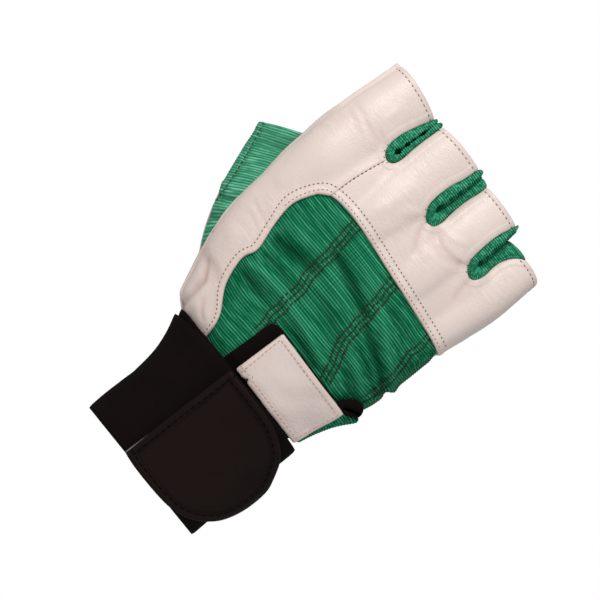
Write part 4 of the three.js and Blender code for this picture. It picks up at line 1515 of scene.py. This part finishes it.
def closure_sheet(grow, outline, end_y, ribs=0):
    """One layer of the closing tab, cut to its outline, with its edge's distance stored."""
    def place(u, v):
        angle = math.pi * (CLOSURE_FROM + (CLOSURE_TO - CLOSURE_FROM) * u)
        return closure_point(CLOSURE_LOW + (CLOSURE_HIGH - CLOSURE_LOW) * v, angle, grow)

    bm = grid(place, CLOSURE_COLUMNS, ribs * ROWS_PER_RIB or CLOSURE_ROWS, (CLOSURE_WIDE, ribs))
    outward(bm, lambda co: Vector((co.x * 0.3, 0, co.z)))
    co = places(bm)
    store(bm, edge=np.minimum(area(outline)(co), end_y - co[:, 1]))
    refine(bm, "edge", CLOSURE_REACH)
    trim(bm, ["edge"])
    return bm, read(bm, "edge")


def hook_tape():
    """The black tape under the closing tab."""
    bm, edge = closure_sheet(TAPE_GROW, TAPE_OUTLINE, TAPE_END_Y)
    push(bm, unevenness(places(bm), 9, 0.25, 2.0) - 0.3 * (1 - ramp(edge, 0, 0.7)))
    add_piece("tape_hooks", bm, "elastic", ["hook_tape"], TAPE_THICK)


def rolled_end():
    """The hook tape's end beside the patch, rolled in round a dark hollow."""
    ring = smooth_line([*MOUTH, MOUTH[0]])
    profile = smooth_line(MOUTH_PROFILE, 4)
    start, end = (Vector(place) for place in MOUTH_SLIT)
    inward = Vector(MOUTH_INWARD)

    def place(u, v):
        edge = Vector(ring[round(v * (len(ring) - 1))])
        share, depth = profile[round(u * (len(profile) - 1))]
        t = (edge - start).dot(end - start) / (end - start).length_squared
        middle = start.lerp(end, min(max(t, 0), 1))
        return edge.lerp(middle, share) + inward * depth

    bm = grid(place, len(profile) - 1, len(ring) - 1)
    bmesh.ops.remove_doubles(bm, verts=bm.verts, dist=0.01)
    bmesh.ops.recalc_face_normals(bm, faces=bm.faces)
    crown_outward(bm, MOUTH_SLIT[1][1])
    push(bm, unevenness(places(bm), 2.5, 0.25, 8.0))
    add_piece("tape_rolled_end", bm, "elastic")


def closing_tab():
    """The ribbed tab over the hook tape."""
    bm, edge = closure_sheet(TAB_GROW, TAB_OUTLINE, TAB_END_Y, TAB_RIBS)
    height = ribbed(bm, TAB_RIBS, size("rib_height")) - 0.4 * (1 - ramp(edge, 0, 0.9))
    push(bm, height + unevenness(places(bm), 9, 0.2, 4.0))
    add_piece("tab_cloth", bm, "cloth", ["closure_tab"], TAB_THICK)


def tab_patch():
    """The leather patch on the tab, with a folded and stitched edge."""
    bm, edge = closure_sheet(PATCH_GROW, PATCH_OUTLINE, 0.0)
    store(bm, hem=edge)
    push(bm, hem(edge, PATCH_ROW) + unevenness(places(bm), 9, 0.5, 6.0))
    add_piece("patch_leather", bm, "leather", ["tab_patch"], PATCH_THICK)


# Stitches

def hits_on(pieces, origin, way, reach):
    """Where a ray meets each of the pieces that it meets, with the face's direction there."""
    hits = [kept[piece].ray_cast(origin, way, reach)[:2] for piece in pieces]
    return [hit for hit in hits if hit[0] is not None]


def stitch(bm, place, out, along, row):
    """One thread bead of a row, on a face that looks out, lying along a direction."""
    turn = Matrix((along.cross(out), out, along)).transposed().to_4x4()
    shape = Matrix.Diagonal((row.width, row.width, row.length, 1))
    bmesh.ops.create_uvsphere(bm, u_segments=7, v_segments=5, radius=0.5,
                              matrix=Matrix.Translation(place + out * row.rise) @ turn @ shape)


def stitch_line(bm, pieces, line, row):
    """Stitches along a line seen from the back, on the uppermost of the pieces."""
    line = np.array(line, float)
    length = run_along(line)
    for k in range(int(length[-1] / row.pitch)):
        ends = [[np.interp((k + 0.5) * row.pitch + step, length, column) for column in line.T]
                for step in (-STITCH_REACH, STITCH_REACH)]
        x, z = np.mean(ends, axis=0)
        hits = hits_on(pieces, Vector((x, -FAR, z)), Vector((0, 1, 0)), 2 * FAR)
        if not hits:
            continue
        place, out = min(hits, key=lambda hit: hit[0].y)
        along = Vector((ends[1][0] - ends[0][0], 0, ends[1][1] - ends[0][1])).normalized()
        along = Matrix.Rotation(math.radians(row.slant), 3, out) @ along
        stitch(bm, place, out, (along - out * along.dot(out)).normalized(), row)


def opening_stitches(bm, pieces, table):
    """Stitches round a finger's opening, at the depth of its folded edge."""
    last = table[-1]
    across, through, along = tube_axes(last)
    middle = Vector(last[:3]) - along * OPENING_HEM
    count = round(math.pi * (last.across + last.through) / OPENING_ROW.pitch)
    for k in range(count):
        angle = 2 * math.pi * k / count
        way = across * last.across * math.cos(angle) + through * last.through * math.sin(angle)
        hits = hits_on(pieces, middle, way.normalized(), OPENING_REACH)
        if hits:
            place, out = hits[0]
            if out.dot(way) < 0:
                out = -out
            stitch(bm, place, out, out.cross(along).normalized(), OPENING_ROW)


class GLOVE_OT_stage(bpy.types.Operator):
    """Make the floor, the lights and the camera"""

    bl_idname = "glove.stage"
    bl_label = "Stage"

    def execute(self, context):
        scene = context.scene
        bm = bmesh.new()
        bmesh.ops.create_circle(bm, cap_ends=True, segments=96, radius=FLOOR_RADIUS)
        bmesh.ops.translate(bm, vec=(0, 0, FLOOR_Z), verts=bm.verts)
        floor = put("floor", mesh_of(bm, "floor"))
        n = Nodes("pale_floor")
        speck = n.noise(n.mapped(), 60, 3)
        tint = n.mix(n.spread(speck, 0.3, 0.7), FLOOR_TINTS[0], FLOOR_TINTS[1])
        floor.data.materials.append(n.finish(tint, 0.9, n.bump(speck, 0.0004)))
        world = bpy.data.worlds.new("studio")
        world.use_nodes = True
        tree = world.node_tree
        sky = tree.nodes["Background"]
        sky.inputs["Color"].default_value = (1.0, 1.0, 1.0, 1.0)
        seen = tree.nodes.new("ShaderNodeLightPath")
        strength = tree.nodes.new("ShaderNodeMapRange")
        strength.inputs["To Min"].default_value = WORLD_STRENGTH
        tree.links.new(seen.outputs["Is Camera Ray"], strength.inputs["Value"])
        tree.links.new(strength.outputs[0], sky.inputs["Strength"])
        scene.world = world
        scene.view_settings.view_transform = "Standard"
        for row in LIGHTS:
            lamp = bpy.data.lights.new(row.name, "AREA")
            lamp.energy = row.watts
            lamp.shape = "DISK"
            lamp.size = row.size
            lamp.color = row.colour
            placed = put(row.name, lamp)
            placed.location = row.place
            aim = Vector(AIM) - Vector(row.place)
            placed.rotation_euler = aim.to_track_quat("-Z", "Y").to_euler()
        data = bpy.data.cameras.new("camera")
        data.lens = LENS
        data.sensor_width = SENSOR
        data.clip_end = CLIP_END
        camera = put("camera", data)
        up = Vector(CAMERA_UP).normalized()
        right = Vector((0, 1, 0)).cross(up)
        turn = Matrix((right, up, (0, -1, 0))).transposed().to_4x4()
        camera.matrix_world = Matrix.Translation(CAMERA_PLACE) @ turn
        scene.camera = camera
        return {"FINISHED"}


class GLOVE_OT_leather(bpy.types.Operator):
    """Make the leather of the palm, the index side and the knuckles"""

    bl_idname = "glove.leather"
    bl_label = "Leather"

    def execute(self, context):
        bm = skin()
        co = places(bm)
        index = area(index_outline())(co)
        store(bm, index=index, knuckle=np.minimum(-index, co[:, 2] - KNUCKLE_LOW_Z),
              distal=-area(panel_outline())(co), palm_thumb=-read(bm, "thumb"))
        kept["skin"] = mesh_of(bm, "skin")
        leather_panel("leather_index_side", "index_leather", ["opening", "slot", "index"],
                      INDEX_FOLDS)
        leather_panel("leather_knuckles", "knuckle_leather",
                      ["opening", "slot", "knuckle", "distal"], KNUCKLE_FOLDS)
        bm = skin()
        store(bm, side=-read(bm, "side"))
        kept["skin"] = mesh_of(bm, "skin")
        leather_panel("leather_palm", "palm_leather", ["opening", "slot", "palm_thumb"], [],
                      PALM_REACH)
        return {"FINISHED"}


class GLOVE_OT_cloth(bpy.types.Operator):
    """Make the ribbed cloth of the back and the thumb"""

    bl_idname = "glove.cloth"
    bl_label = "Ribbed cloth"

    def execute(self, context):
        back_cloth()
        thumb_cloth()
        return {"FINISHED"}


class GLOVE_OT_gussets(bpy.types.Operator):
    """Make the knitted gussets between the fingers"""

    bl_idname = "glove.gussets"
    bl_label = "Gussets"

    def execute(self, context):
        for number in range(len(GUSSETS)):
            gusset(number)
        return {"FINISHED"}


class GLOVE_OT_wrap(bpy.types.Operator):
    """Make the wrist wrap and its end flap"""

    bl_idname = "glove.wrap"
    bl_label = "Wrist wrap"

    def execute(self, context):
        wrist_wrap()
        closing_flap()
        return {"FINISHED"}


class GLOVE_OT_tab(bpy.types.Operator):
    """Make the closing tab with its hook tape and patch"""

    bl_idname = "glove.tab"
    bl_label = "Closing tab"

    def execute(self, context):
        hook_tape()
        rolled_end()
        closing_tab()
        tab_patch()
        return {"FINISHED"}


class GLOVE_OT_stitches(bpy.types.Operator):
    """Make the rows of stitches"""

    bl_idname = "glove.stitches"
    bl_label = "Stitches"

    def execute(self, context):
        leathers = ["leather_index_side", "leather_knuckles"]
        edge = panel_edge()
        apex = len(smooth_line(PANEL_RADIAL_EDGE))
        at = np.arange(len(edge))
        shift = 1.6 + 1.1 * ramp(at, 5, 14) + 1.3 * ramp(at, apex - 14, apex - 7)
        bm = bmesh.new()
        stitch_line(bm, leathers, offset_line(edge, shift[:, None])[2:], EDGE_ROW)
        stitch_line(bm, leathers, offset_line(edge[apex - 9:], 1.5), FAINT_ROW)
        stitch_line(bm, leathers, smooth_line(KNUCKLE_SEAM)[3:], KNUCKLE_ROW)
        for g in GUSSETS:
            stitch_line(bm, leathers, offset_line(smooth_line(g.border[4:8]), -0.5), WEB_ROW)
        for table in FINGERS:
            opening_stitches(bm, [*leathers, "leather_palm"], table)
        add_piece("stitches_leather", bm, "thread")
        bm = bmesh.new()
        for band in CLOTH_BANDS:
            for line in band_lines(band):
                stitch_line(bm, ["cloth_back"], line, CLOTH_ROW)
        stitch_line(bm, ["cloth_thumb"], THUMB_STRIP, THUMB_ROW)
        add_piece("stitches_cloth", bm, "cloth_thread")
        for name, piece, outline, inset, row, thread in (
                ("stitches_patch", "patch_leather", PATCH_OUTLINE, PATCH_ROW, PATCH_STITCH,
                 "patch_thread"),
                ("stitches_flap", "flap_coated", FLAP_OUTLINE, FLAP_ROW, FLAP_STITCH,
                 "black_thread")):
            bm = bmesh.new()
            stitch_line(bm, [piece], inset_line(outline, inset), row)
            add_piece(name, bm, thread)
        return {"FINISHED"}


class GLOVE_PT_panel(bpy.types.Panel):
    """Lists the glove's pieces and their settings"""

    bl_label = "Glove"
    bl_idname = "GLOVE_PT_panel"
    bl_space_type = "VIEW_3D"
    bl_region_type = "UI"
    bl_category = "Glove"

    def draw(self, context):
        for operator in OPERATORS:
            self.layout.operator(operator.bl_idname)
        for group in (context.scene.glove_sizes, context.scene.glove_colours):
            box = self.layout.box()
            for name in group.__annotations__:
                box.prop(group, name)


OPERATORS = (GLOVE_OT_stage, GLOVE_OT_leather, GLOVE_OT_cloth, GLOVE_OT_gussets, GLOVE_OT_wrap,
             GLOVE_OT_tab, GLOVE_OT_stitches)
CLASSES = (GloveSizes, GloveColours, *OPERATORS, GLOVE_PT_panel)


def register():
    """Adds the settings, the operators and the panel."""
    for kind in CLASSES:
        bpy.utils.register_class(kind)
    bpy.types.Scene.glove_sizes = PointerProperty(type=GloveSizes)
    bpy.types.Scene.glove_colours = PointerProperty(type=GloveColours)


def unregister():
    """Takes them away again."""
    del bpy.types.Scene.glove_colours
    del bpy.types.Scene.glove_sizes
    for kind in reversed(CLASSES):
        bpy.utils.unregister_class(kind)


def main():
    """Builds the glove and its stage."""
    register()
    for operator in OPERATORS:
        group, name = operator.bl_idname.split(".")
        getattr(getattr(bpy.ops, group), name)()


if __name__ == "__main__":
    main()
